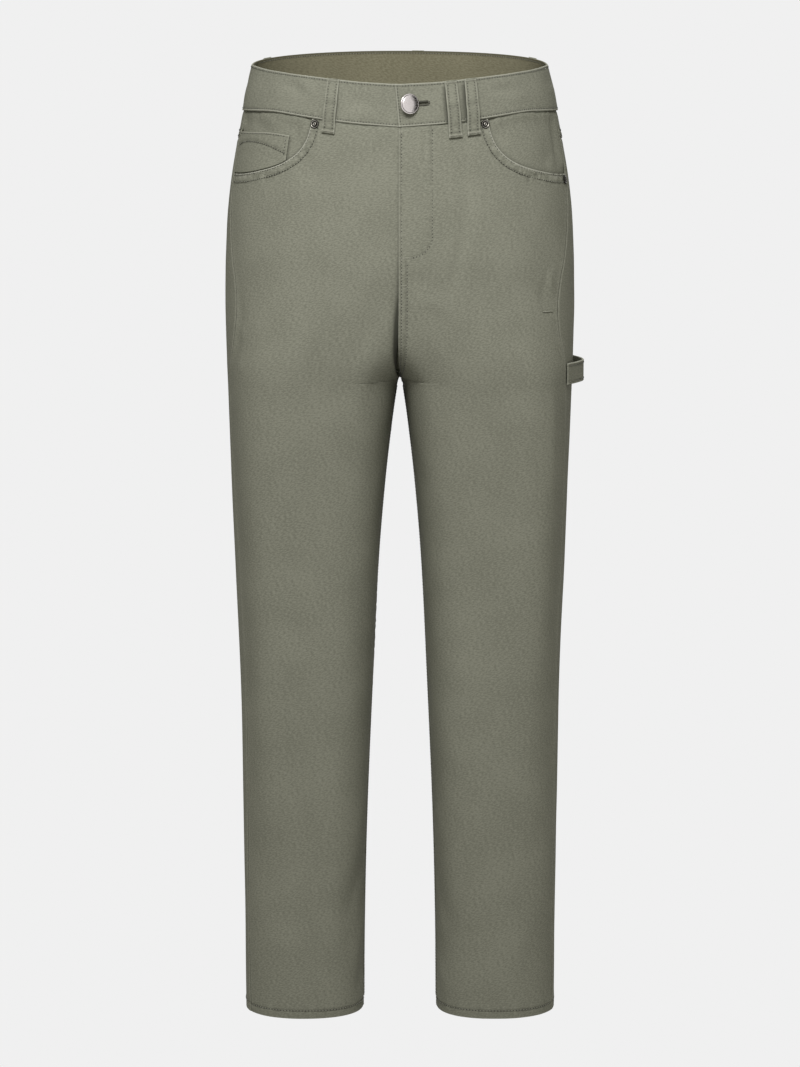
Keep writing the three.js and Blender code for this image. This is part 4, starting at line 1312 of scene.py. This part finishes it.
def hammer_loop(material):
    line = hammer_points()
    out = hammer_outwards(line)
    up = (stations(HAMMER_WIDTH, 1.0) - 0.5) * HAMMER_WIDTH
    beside = (HAMMER_WIDTH / 2 - np.abs(up))[:, None] + 0 * line[None, :, 0]
    base = line[None, :, :] + np.stack([0 * up, 0 * up, up], axis=-1)[:, None, :]
    run = edge_distances(base)[2]
    height = 0.25 * bump(beside, 1.0, 1.0) - 0.25 * bump(beside, 3.0, 0.8) + 0.12 * ripple(run, 14, 81)
    # the edges lighter, wear and painted highlight, and painted shade along the stitched rows
    tone = 0.8 * bump(beside, 0.2, 0.8) - 0.3 * bump(beside, 3.0, 0.8)
    turned = roll(nearest_edge(base), 0.85)
    outer = base + out[None] * (HAMMER_WALL + height - turned)[..., None]
    inner = base + out[None] * turned[..., None]
    uv = np.stack([run, up[:, None] + 0 * run], axis=-1) * METRE
    made = shell("cloth_hammer_loop", outer, inner, material, uv, tone, flip=False)
    return made, area_of(base)


# Sewing


def stitches(name, rows, material, radius=THREAD, pitch=STITCH_PITCH, length=STITCH):
    """Rows of stitches as one mesh, with a pit of painted shade between each two where the needle went in.
    Each row is (points, normals) along the cloth's face. material is the thread's and the pits'."""
    starts, ends, ups = [], [], []
    for points, normals in rows:
        run = run_along(points)
        count = max(1, int(run[-1] // pitch))
        first = (run[-1] - count * pitch) / 2 + (pitch - length) / 2 + np.arange(count) * pitch
        for at, kept in ((first, starts), (first + length, ends)):
            kept.append(np.stack([np.interp(at, run, points[:, k]) for k in range(3)], axis=-1))
        ups.append(np.stack([np.interp(first, run, normals[:, k]) for k in range(3)], axis=-1))
    start, end, up = (np.concatenate(part) for part in (starts, ends, ups))
    along = (end - start) / length
    pit = end + along * PIT_OVERLAP * -1
    pit_end = end + along * (pitch - length + PIT_OVERLAP)
    return capsules(
        name,
        np.concatenate([start, pit]),
        np.concatenate([end, pit_end]),
        np.concatenate([up, up]),
        material,
        np.concatenate([np.full(len(start), radius), np.full(len(pit), PIT_RADIUS)]),
        dark_from=len(start),
    )


def capsules(name, start, end, up, material, radius, dark_from=None):
    """Short tubes that dip into the cloth at both ends, in material's second part from one of them on."""
    radius = np.broadcast_to(radius, len(start))[:, None]
    along = end - start
    along /= np.linalg.norm(along, axis=-1, keepdims=True)
    beside = np.cross(along, up)
    beside /= np.linalg.norm(beside, axis=-1, keepdims=True)
    up = np.cross(beside, along)
    angle = np.arange(CAPSULE_SIDES) * 2 * math.pi / CAPSULE_SIDES
    ring = np.cos(angle)[:, None, None] * beside + np.sin(angle)[:, None, None] * up
    grid = []
    for t, lift, girth in CAPSULE_STOPS:
        middle = mix(start, end, t) + up * (lift * radius)
        grid.append(middle[None] + ring * (girth * radius))
    points = np.stack(grid).transpose(2, 0, 1, 3)
    stops = len(CAPSULE_STOPS)
    index = np.arange(stops * CAPSULE_SIDES).reshape(stops, CAPSULE_SIDES)
    ahead = np.roll(index, -1, axis=1)
    tube = np.stack([index[:-1], ahead[:-1], ahead[1:], index[1:]], axis=-1).reshape(-1, 4)
    tube = np.concatenate([tube[:, [0, 1, 2]], tube[:, [0, 2, 3]]])
    fans = [(0, i + 1, i) for i in range(1, CAPSULE_SIDES - 1)]
    last = index[-1, 0]
    fans += [(last, last + i, last + i + 1) for i in range(1, CAPSULE_SIDES - 1)]
    one = np.concatenate([tube, fans])
    faces = (one[None] + stops * CAPSULE_SIDES * np.arange(len(start))[:, None, None]).reshape(-1, 3)
    made = new_object(name, points.reshape(-1, 3), faces, material[0])
    if dark_from is not None:
        made.data.materials.append(material[1])
        slots = np.repeat(np.arange(len(start)) >= dark_from, len(one)).astype(np.int32)
        made.data.polygons.foreach_set("material_index", slots)
    return made


def face_row(side, share, level, lift):
    """A row along the cloth's face, with its normals."""
    share, level = np.broadcast_arrays(np.asarray(share, float), np.asarray(level, float))
    side = np.full(share.shape, float(side))
    height = lift
    if np.all(share <= 2.001):
        height = lift + crease_height(CREASES, side, share, level, flat_across)
    return cloth_point(side, share, level, height), smooth_normal(side, share, level)


def ring_row(place, level, offset):
    place, level = np.broadcast_arrays(np.asarray(place, float), np.asarray(level, float))
    side, share = ring_side(place)
    return ring_point(place, level, offset), smooth_normal(side, share, level)


def tack(side, a, b, width=2.0, pitch=0.55):
    """A bartack's short cross stitches, from one (share, level) to another."""
    start, _ = face_row(side, a[0], a[1], 0.6)
    end, normal = face_row(side, b[0], b[1], 0.6)
    return tack_between(start.reshape(3), end.reshape(3), normal.reshape(3), width, pitch)


def tack_between(start, end, normal, width, pitch=0.55):
    count = max(3, int(np.linalg.norm(end - start) / pitch))
    middle = mix(start[None], end[None], np.linspace(0, 1, count)[:, None])
    across = np.cross(normal, end - start)
    across = across / np.linalg.norm(across) * width / 2
    return middle - across, middle + across, np.repeat(normal[None], count, axis=0)


def tacks(name, made, material, radius=0.32):
    parts = [np.concatenate(part) for part in zip(*made)]
    return capsules(name, *parts, material, radius)


def sew_front(side, word, thread):
    leg = np.linspace(HEM + HEM_ROW + 1, FORK - 12, 420)
    rows = [face_row(side, share_of(side, 0, d, leg), leg, 0.35) for d in INSEAM_ROWS]
    hem_share = np.linspace(0.01, 0.99, 160)
    rows.append(face_row(side, hem_share, np.full(160, HEM + HEM_ROW), 0.0))
    edge_share, edge_level, _ = scoop_curve(SCOOP_REACH, SCOOP_DROP, 120)
    flat = np.stack([flat_across(float(side), edge_share, edge_level), edge_level], axis=-1)
    tangent = np.gradient(flat, axis=0)
    inward = np.stack([-tangent[:, 1], tangent[:, 0]], axis=-1)
    inward *= -np.sign(inward[:, 1:2].mean()) / np.linalg.norm(inward, axis=-1, keepdims=True)
    for d in (1.6, SCOOP_ROW):
        at = flat + inward * d
        at = at[at[:, 1] < BAND_BOTTOM - 2]
        share = share_at(side, 0, at[:, 0], at[:, 1])
        rows.append(face_row(side, np.minimum(share, 0.995), at[:, 1], 0.25))
    bars = []
    if side > 0:
        rise = np.linspace(BAND_BOTTOM - 3, FORK - 8, 160)
        rows.append(face_row(side, share_of(side, 0, RISE_ROWS[0], rise), rise, 0.55))
        rise = rise[rise < FLY_END - 2]
        rows.append(face_row(side, share_of(side, 0, RISE_ROWS[1], rise), rise, 0.4))
        fly = fly_curve()
        rows.append(face_row(side, share_of(side, 0, fly[:, 0], fly[:, 1]), fly[:, 1], 0.2))
        for level, reach in ((FLY_END, 10.5), (FLY_END - 31, 7.0)):
            ends = [share_of(side, 0, d, np.array(level)) for d in (1.0, reach)]
            bars.append(tack(side, (ends[0], level), (ends[1], level)))
        ends = [share_at(side, 0, -d, np.array(SIDE_TACK_LEVEL)) for d in SIDE_TACK]
        bars.append(tack(side, (ends[0], SIDE_TACK_LEVEL), (ends[1], SIDE_TACK_LEVEL), width=1.0))
    made = [stitches(f"sewing_front_{word}", rows, thread)]
    if bars:
        made.append(tacks(f"tacks_front_{word}", bars, thread))
    return made


def sew_back(side, word, thread):
    share = np.linspace(1.01, 1.99, 170)
    rows = [face_row(side, share, np.full(170, HEM + HEM_ROW), 0.0)]
    if side > 0:
        rise = np.linspace(YOKE_CENTRE - 3, FORK + 6, 130)
        for d in RISE_ROWS:
            rows.append(face_row(side, share_of(side, 1, d, rise), rise, 0.1))
    return [stitches(f"sewing_back_{word}", rows, thread)]


def sew_yoke(side, word, thread):
    share = np.linspace(1.01, 1.99, 150)
    seam = mix(YOKE_SIDE, YOKE_CENTRE, share - 1)
    rows = [face_row(side, share, seam + d, 0.2) for d in (1.9, 7.8)]
    return [stitches(f"sewing_yoke_{word}", rows, thread)]


def sew_coin(thread):
    share, level = coin_row()
    rows = [face_row(-1, share, level, 0.1)]
    edge = np.linspace(COIN_TOP - 2, COIN_TOP - 20, 30)
    rows.append(face_row(-1, np.full(30, COIN_INNER + 0.014), edge, 0.1))
    top = np.linspace(COIN_INNER + 0.01, 0.99, 60)
    rows.append(face_row(-1, top, np.full(60, COIN_TOP - 1.6), 0.1))
    return [stitches("sewing_coin_pocket", rows, thread)]


def sew_band(thread):
    rows = []
    place = np.linspace(front_place(-BAND_LAP_LOW) + 0.004, 3.98, 900)
    for level in (-BAND_ROWS[0], BAND_BOTTOM + BAND_ROWS[1]):
        face = band_face(place, level)
        height, _ = band_relief(place, np.full(place.shape, float(level)))
        rows.append(ring_row(place, level, face + height + 0.1))
        points, normals = ring_row(place, level, face - BAND_WALL - 0.05)
        rows.append((points, -normals))
    level = np.linspace(BAND_BOTTOM + 2.2, -2.4, 40)
    rows.append(ring_row(front_place(2.2 - band_lap(level)), level, BAND_OUT + 0.1))
    return [stitches("sewing_waistband", rows, thread, pitch=3.0, length=2.2)]


def sew_buttonhole(thread):
    inner = resampled(np.concatenate([keyhole_outline(0.1), keyhole_outline(0.1)[:1]]), 110)
    middle = np.array([EYE_ACROSS, BUTTON_LEVEL])
    tangent = np.gradient(inner, axis=0)
    out = np.stack([tangent[:, 1], -tangent[:, 0]], axis=-1)
    out /= np.linalg.norm(out, axis=-1, keepdims=True)
    if np.mean(((inner - middle) * out).sum(axis=-1)[:40]) < 0:
        out = -out
    outer = inner + out * 2.2
    start, normal = ring_row(front_place(inner[:, 0]), inner[:, 1], BAND_OUT + 0.35)
    end, _ = ring_row(front_place(outer[:, 0]), outer[:, 1], BAND_OUT + 0.35)
    return [capsules("buttonhole_stitching", start, end, normal, thread, 0.36)]


def sew_loop(name, place, lean, longer, thread):
    unit = share_length(float(ring_side(place)[1]), -20)
    level = np.linspace(-1.5, LOOP_FOOT + 5, 60)
    down = level / LOOP_FOOT
    rows = []
    for across in (-LOOP_WIDTH / 2 + 2.6, LOOP_WIDTH / 2 - 2.6):
        at = place + (across + lean * down) / unit
        offset = column(LOOP_ROWS, "stand_off", level) + column(LOOP_ROWS, "wall", level)
        offset = offset - 0.2 + loop_bend(level, lean)
        rows.append(ring_row(at, level - longer * down, offset))
    made = [stitches(f"sewing_loop_{name}", rows, thread, radius=0.27, pitch=3.0, length=2.2)]
    bars = []
    for level, offset in ((-2.2, 2.9), (LOOP_FOOT + 2.2, 3.4)):
        down = max(level / LOOP_FOOT, 0)
        ends = []
        for across in (-LOOP_WIDTH / 2 + 0.8, LOOP_WIDTH / 2 - 0.8):
            points, normal = ring_row(place + (across + lean * down) / unit, level - longer * down, offset)
            ends.append(points.reshape(3))
        bars.append(tack_between(ends[0], ends[1], normal.reshape(3), 1.8))
    made.append(tacks(f"tacks_loop_{name}", bars, thread, 0.3))
    return made


def sew_hammer(thread):
    line = hammer_points(60)
    out = hammer_outwards(line)
    rows = []
    for up in (-HAMMER_WIDTH / 2 + 3, HAMMER_WIDTH / 2 - 3):
        rows.append((line + out * (HAMMER_WALL - 0.05) + np.array([0, 0, up]), out))
    return [stitches("sewing_hammer_loop", rows, thread)]


# Metal


def lathe(profile, segments):
    """A turned piece from (radius, height) points, closed on its axis."""
    profile = np.asarray(profile, float)
    angle = np.arange(segments) * 2 * math.pi / segments
    ring = np.stack([np.cos(angle), np.sin(angle)], axis=-1)
    points = [[0, 0, profile[0, 1]]]
    for radius, height in profile[1:-1]:
        points += [[radius * c, radius * s, height] for c, s in ring]
    points.append([0, 0, profile[-1, 1]])
    rings = len(profile) - 2
    index = 1 + np.arange(rings * segments).reshape(rings, segments)
    after = np.roll(index, -1, axis=1)
    last = len(points) - 1
    quads = np.stack([index[:-1], after[:-1], after[1:], index[1:]], axis=-1).reshape(-1, 4)
    triangles = np.concatenate([quads[:, [0, 1, 2]], quads[:, [0, 2, 3]]])
    low = np.stack([np.zeros(segments, int), after[0], index[0]], axis=-1)
    high = np.stack([np.full(segments, last), index[-1], after[-1]], axis=-1)
    return np.array(points), np.concatenate([triangles, low, high])


def rounded(points, steps=4):
    """A profile with each corner turned into a short curve."""
    points = np.asarray(points, float)
    out = [points[0]]
    for a, b, c in zip(points, points[1:], points[2:]):
        cut = 0.35 * min(np.linalg.norm(b - a), np.linalg.norm(c - b))
        p = b + (a - b) / np.linalg.norm(a - b) * cut
        q = b + (c - b) / np.linalg.norm(c - b) * cut
        for t in np.linspace(0, 1, steps):
            out.append((1 - t) ** 2 * p + 2 * t * (1 - t) * b + t * t * q)
    out.append(points[-1])
    return np.array(out)


def stand_on(points, side, share, level, offset, lean=0.0):
    """Stands turned points on the cloth, leaning about the vertical."""
    at = cloth_point(float(side), np.asarray(share), np.asarray(level, float), np.asarray(offset)).reshape(3)
    normal = smooth_normal(np.asarray(float(side)), np.asarray(share), np.asarray(level, float)).reshape(3)
    turn = Vector((0, 0, 1)).rotation_difference(Vector(normal)).to_matrix()
    tilt = np.array([[math.cos(lean), -math.sin(lean), 0], [math.sin(lean), math.cos(lean), 0], [0, 0, 1]])
    return points @ np.array(turn).T @ tilt.T + at


RIVET_PROFILE = [
    (0, 0),
    (RIVET_RADIUS, 0),
    (RIVET_RADIUS, 0.7),
    (RIVET_RADIUS - 0.5, 1.25),
    (RIVET_RADIUS - 1.2, 1.3),
    (2.7, 0.75),
    (2.2, 0.7),
    (1.7, 1.5),
    (0.9, 1.65),
    (0.5, 1.2),
    (0, 1.15),
]

TACK_PROFILE = [
    (0, 0),
    (4.4, 0),
    (4.4, 0.6),
    (3.2, 1.2),
    (0, 1.3),
]
BUTTON_PROFILE = [
    (0, NECK_RADIUS * math.sin(math.radians(BUTTON_LEAN))),
    (NECK_RADIUS, NECK_RADIUS * math.sin(math.radians(BUTTON_LEAN))),
    (NECK_RADIUS, BUTTON_HEIGHT),
    (BUTTON_RADIUS - 0.8, BUTTON_HEIGHT + 0.1),
    (BUTTON_RADIUS, BUTTON_HEIGHT + 0.8),
    (BUTTON_RADIUS - 0.25, BUTTON_HEIGHT + 1.6),
    (BUTTON_RADIUS - 1.0, BUTTON_HEIGHT + 1.75),
    (BUTTON_RADIUS - 1.5, BUTTON_HEIGHT + 1.6),
    (BUTTON_RADIUS - 3.0, BUTTON_HEIGHT + 2.2),
    (BUTTON_RADIUS - 6.0, BUTTON_HEIGHT + 2.6),
    (0, BUTTON_HEIGHT + 2.7),
]


def rivets():
    low = BAND_BOTTOM - SCOOP_DROP
    inner = 1 - SCOOP_REACH - RIVET_INSET / share_length(1 - SCOOP_REACH, BAND_BOTTOM)
    outer = 1 - RIVET_FROM_SEAM / share_length(1, low)
    return [
        ("inner_left", 1, inner, BAND_BOTTOM - RIVET_DROP),
        ("inner_right", -1, inner, BAND_BOTTOM - RIVET_DROP),
        ("outer_left", 1, outer, low - RIVET_DROP),
    ]


def make_rivets(metal, dark):
    made = []
    points, faces = lathe(rounded(RIVET_PROFILE), 48)
    radius = np.hypot(points[:, 0], points[:, 1])
    for name, side, share, level in rivets():
        placed = stand_on(points, side, share, level, SEAM_GAP)
        rivet = new_object(f"rivet_{name}", placed, faces, metal)
        rivet.data.materials.append(dark)
        middle = radius[faces].mean(axis=1)
        groove = (middle > RIVET_GROOVE[0]) & (middle < RIVET_GROOVE[1])
        # the near-black metal: tarnish in the groove and the middle pit, and a darkened rim
        aged = groove | (middle < RIVET_PIT) | (middle > RIVET_RADIUS - RIVET_RIM)
        rivet.data.polygons.foreach_set("material_index", aged.astype(np.int32))
        made.append((rivet, f"pocket_rivet_{name}"))
    return made


def make_button(metal, dark):
    side, share = ring_side(front_place(BUTTON_ACROSS))
    points, faces = lathe(rounded(BUTTON_PROFILE), 72)
    radius = np.hypot(points[:, 0], points[:, 1])
    face = BAND_OUT - BAND_WALL - SEAM_GAP
    placed = stand_on(points, float(side), float(share), BUTTON_LEVEL, face, math.radians(BUTTON_LEAN))
    button = new_object("metal_button", placed, faces, metal)
    button.data.materials.append(dark)
    middle, high = radius[faces].mean(axis=1), points[faces, 2].mean(axis=1)
    groove = (middle > BUTTON_RADIUS - BUTTON_GROOVE[0]) & (middle < BUTTON_RADIUS - BUTTON_GROOVE[1])
    # painted shade: the neck, the cap's underside and its lower rim take the near-black metal, along with the
    # tarnished groove
    under = (high < BUTTON_HEIGHT + BUTTON_UNDER) | groove
    button.data.polygons.foreach_set("material_index", under.astype(np.int32))
    return button


def make_tack(metal):
    """The low cap behind the button, on the underlap's inner face."""
    side, share = ring_side(front_place(BUTTON_ACROSS))
    points, faces = lathe(rounded(TACK_PROFILE), 48)
    points[:, 2] *= -1
    face = BAND_OUT - 2 * BAND_WALL - 3 * SEAM_GAP
    placed = stand_on(points, float(side), float(share), BUTTON_LEVEL, face, 0.0)
    return new_object("metal_button_tack", placed, faces[:, ::-1], metal)


# Materials


def new_material(name):
    material = bpy.data.materials.new(name)
    material.use_nodes = True
    nodes, links = material.node_tree.nodes, material.node_tree.links
    return material, nodes, links, nodes["Principled BSDF"]


def add_node(nodes, kind, **values):
    """A shader node with values for its inputs, whose names have _ for a space."""
    made = nodes.new(f"ShaderNode{kind}")
    for name, value in values.items():
        made.inputs[name.replace("_", " ")].default_value = value
    return made


def colour_mix(nodes, **colours):
    """A node that mixes two colours, A and B."""
    made = nodes.new("ShaderNodeMix")
    made.data_type = "RGBA"
    for name, colour in colours.items():
        made.inputs[name].default_value = (*colour, 1)
    return made


def add_bump(nodes, links, height, strength, distance):
    """A bump node over a height, with its distance in metres."""
    made = add_node(nodes, "Bump", Strength=strength, Distance=distance)
    links.new(height, made.inputs["Height"])
    return made


def mottled(name, scale, detail, low, high):
    """A material whose colour wanders between two by a noise. Gives the noise's socket too."""
    material, nodes, links, shader = new_material(name)
    where = nodes.new("ShaderNodeTexCoord")
    texture = add_node(nodes, "TexNoise", Scale=scale, Detail=detail)
    links.new(where.outputs["Object"], texture.inputs["Vector"])
    ramp = colour_mix(nodes, A=low, B=high)
    links.new(texture.outputs["Fac"], ramp.inputs["Factor"])
    links.new(ramp.outputs["Result"], shader.inputs["Base Color"])
    return material, nodes, links, shader, texture.outputs["Fac"]


def twill(name, light, dark, wear_and_highlight):
    """Cotton twill: diagonal ribs, slubs along them and uneven dye; by the tone attribute, wear with painted
    highlight where it is above 0 and painted shade where it is below.
    """
    material, nodes, links, shader = new_material(name)
    uv = nodes.new("ShaderNodeUVMap")
    uv.uv_map = "cloth"
    turned_uv = add_node(nodes, "Mapping", Rotation=(0, 0, math.radians(RIB_SLOPE)))
    links.new(uv.outputs["UV"], turned_uv.inputs["Vector"])
    rib_scale = 2 * math.pi / (20 * RIB_PITCH * METRE)
    ribs = add_node(nodes, "TexWave", Scale=rib_scale, Distortion=1.2, Detail=2, Detail_Scale=1.5)
    ribs.bands_direction = "Y"
    links.new(turned_uv.outputs["Vector"], ribs.inputs["Vector"])

    def noise(scale, stretch, detail):
        shape = add_node(nodes, "Mapping", Scale=stretch)
        links.new(turned_uv.outputs["Vector"], shape.inputs["Vector"])
        texture = add_node(nodes, "TexNoise", Scale=scale, Detail=detail)
        texture.noise_dimensions = "2D"
        links.new(shape.outputs["Vector"], texture.inputs["Vector"])
        return texture.outputs["Fac"]

    def weighted(parts, constant):
        total = None
        for value, weight in parts:
            times = nodes.new("ShaderNodeMath")
            times.operation = "MULTIPLY_ADD"
            links.new(value, times.inputs[0])
            times.inputs[1].default_value = weight
            if total is None:
                times.inputs[2].default_value = constant
            else:
                links.new(total, times.inputs[2])
            total = times.outputs[0]
        return total

    slub = noise(900, (0.34, 1, 1), 2)
    grain = noise(1500, (0.6, 1, 1), 2)
    cloud = noise(22, (1, 1, 1), 4)
    tone = nodes.new("ShaderNodeAttribute")
    tone.attribute_name = "tone"
    shade = weighted([(slub, 3.5), (grain, 1.6), (cloud, 0.9), (ribs.outputs["Fac"], 0.2)], -2.6)
    ramp = colour_mix(nodes, A=dark, B=light)
    links.new(shade, ramp.inputs["Factor"])
    # lighter lifts the colour towards the worn one where tone is above 0: wear and painted highlight. darker
    # pulls it towards a darker sage where tone is below 0: painted shade.
    lighter = colour_mix(nodes, B=wear_and_highlight)
    links.new(weighted([(tone.outputs["Fac"], 0.75)], 0.0), lighter.inputs["Factor"])
    links.new(ramp.outputs["Result"], lighter.inputs["A"])
    darker = colour_mix(nodes, B=[0.42 * c for c in dark])
    links.new(weighted([(tone.outputs["Fac"], -0.9)], 0.0), darker.inputs["Factor"])
    links.new(lighter.outputs["Result"], darker.inputs["A"])
    links.new(darker.outputs["Result"], shader.inputs["Base Color"])
    rib_height = weighted([(ribs.outputs["Fac"], 0.6), (grain, 0.5)], 0.0)
    rib_bump = add_bump(nodes, links, rib_height, 0.35, 0.0002)
    soft_bump = add_bump(nodes, links, slub, 0.22, 0.0005)
    links.new(rib_bump.outputs["Normal"], soft_bump.inputs["Normal"])
    links.new(soft_bump.outputs["Normal"], shader.inputs["Normal"])
    shader.inputs["Roughness"].default_value = 0.95
    shader.inputs["Specular IOR Level"].default_value = 0.03
    return material


def thread_material(name, colour):
    low, high = [0.7 * c for c in colour], [1.25 * c for c in colour]
    material, nodes, links, shader, noise = mottled(name, 900, 2, low, high)
    ply = add_bump(nodes, links, noise, 0.4, 0.0001)
    links.new(ply.outputs["Normal"], shader.inputs["Normal"])
    shader.inputs["Roughness"].default_value = 0.6
    return material


def metal_material(name, colour, roughness, marks):
    low = [marks * c for c in colour]
    material, nodes, links, shader, noise = mottled(name, 420, 4, low, colour)
    rough = add_node(nodes, "MapRange", To_Min=roughness * 0.7, To_Max=roughness * 1.4)
    links.new(noise, rough.inputs["Value"])
    links.new(rough.outputs["Result"], shader.inputs["Roughness"])
    shader.inputs["Metallic"].default_value = 1
    return material


# View and light


def camera():
    data = bpy.data.cameras.new("camera")
    data.sensor_width = SENSOR
    data.lens = FOCAL_PIXELS / LONG_SIDE_PIXELS * SENSOR
    made = bpy.data.objects.new("camera", data)
    made.location = (0, -CAMERA_BACK, 0)
    made.rotation_euler = (math.radians(90 - CAMERA_PITCH), 0, 0)
    bpy.context.scene.collection.objects.link(made)
    bpy.context.scene.camera = made


def area_light(name, place, target, width, height, power):
    data = bpy.data.lights.new(name, "AREA")
    data.shape = "RECTANGLE"
    data.size, data.size_y = width, height
    data.energy = power
    made = bpy.data.objects.new(name, data)
    made.location = place
    made.rotation_euler = (Vector(target) - Vector(place)).to_track_quat("-Z", "Y").to_euler()
    bpy.context.scene.collection.objects.link(made)


def plain_glow(name, strength):
    material, nodes, links, shader = new_material(name)
    glow = nodes.new("ShaderNodeEmission")
    glow.inputs["Color"].default_value = (strength, strength, strength, 1)
    links.new(glow.outputs["Emission"], nodes["Material Output"].inputs["Surface"])
    nodes.remove(shader)
    return material


def studio():
    """A pale floor and backdrop that don't light the cloth, soft lights from high up and dark cards."""
    glow = plain_glow("studio_white", BACKDROP)
    bpy.ops.mesh.primitive_uv_sphere_add(segments=48, ring_count=24, radius=BACKDROP_RADIUS)
    backdrop = bpy.context.object
    backdrop.name = "backdrop"
    place = (0, 0, FLOOR_LEVEL)
    bpy.ops.mesh.primitive_circle_add(vertices=64, radius=FLOOR_RADIUS, fill_type="NGON", location=place)
    floor = bpy.context.object
    floor.name = "floor"
    for made in (backdrop, floor):
        made.data.materials.append(glow)
        made.visible_diffuse = False
        made.visible_shadow = False
    world = bpy.data.worlds.new("studio")
    world.use_nodes = True
    sky = world.node_tree.nodes["Background"].inputs
    sky["Color"].default_value = SKY_COLOUR
    sky["Strength"].default_value = SKY_STRENGTH
    bpy.context.scene.world = world
    for light in LIGHTS:
        area_light(*light)
    dark = plain_glow("dark_card", CARD_GLOW)
    for name, across in (("card_left", -CARD_OUT), ("card_right", CARD_OUT)):
        place, turn = (across, CARD_BEHIND, 0), (0, math.pi / 2, 0)
        bpy.ops.mesh.primitive_plane_add(size=CARD_SIZE, location=place, rotation=turn)
        card = bpy.context.object
        card.name = name
        card.data.materials.append(dark)
        card.visible_camera = False
        card.visible_diffuse = False
        card.visible_shadow = False
    scene = bpy.context.scene
    scene.view_settings.view_transform = "Standard"
    scene.view_settings.look = "None"


# Putting it together


def dress(piece, node):
    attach(piece, "root")
    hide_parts(node)


def hang(made, node, flat, sewing):
    """Attaches a piece of cloth and the sewing on it, and hides the solid it stands for. The size it was cut
    to only caps an area that nothing uses.
    """
    piece, area = made
    dress(piece, node)
    for row in sewing:
        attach(row, "root")
    width, length = flat
    area = min(area, width * length)


def main():
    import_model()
    camera()
    studio()

    cloth = twill("sage_twill", *SAGE)
    # a shaded copy of the cloth for the waistband's inside: painted shade
    inside = twill("sage_twill_inside_shaded", *SAGE_INSIDE_SHADED)
    # painted shade: the near-black material of the pits between stitches
    pit = thread_material("needle_pit_shade", PIT_SHADE_COLOUR)
    thread = (thread_material("sage_thread", SAGE_THREAD), pit)
    dark_thread = (thread_material("dark_thread", DARK_THREAD), pit)
    nickel = metal_material("nickel", *NICKEL)
    aged = metal_material("aged_nickel", *AGED_NICKEL)
    # near-black metal: tarnish in the hollows and painted shade under the button
    tarnish_and_shade = metal_material("tarnish_and_shade", *TARNISH_AND_SHADE)

    for side, word in ((1, "left"), (-1, "right")):
        front, sewing = front_panel(side, word, cloth), sew_front(side, word, thread)
        hang(front, f"front_panel_{word}", (0.29, 0.98), sewing)
        back, sewing = back_panel(side, word, cloth), sew_back(side, word, thread)
        hang(back, f"back_panel_{word}", (0.385, 0.955), sewing)
        hang(yoke(side, word, cloth), f"yoke_{word}", (0.27, 0.07), sew_yoke(side, word, thread))
        hang(pocket_facing(side, word, cloth), f"pocket_facing_{word}", (0.115, 0.08), [])
    hang(coin_pocket(cloth), "coin_pocket", (0.08, 0.046), sew_coin(thread))
    hang(fly_shield(cloth), "fly_shield", (0.062, 0.136), [])
    band = waistband(cloth, inside)
    hang(band, "waistband", (0.87, 0.048), sew_band(thread) + sew_buttonhole(dark_thread))
    for name, place, lean, longer in BELT_LOOPS:
        sewing = sew_loop(name, place, lean, longer, thread)
        hang(belt_loop(name, place, lean, longer, cloth), f"belt_loop_{name}", (0.013, 0.065), sewing)
    hang(hammer_loop(cloth), "hammer_loop", (0.133, 0.0225), sew_hammer(thread))

    for rivet, node in make_rivets(aged, tarnish_and_shade):
        dress(rivet, node)
    dress(make_button(nickel, tarnish_and_shade), "button")
    dress(make_tack(aged), "button_tack")


main()
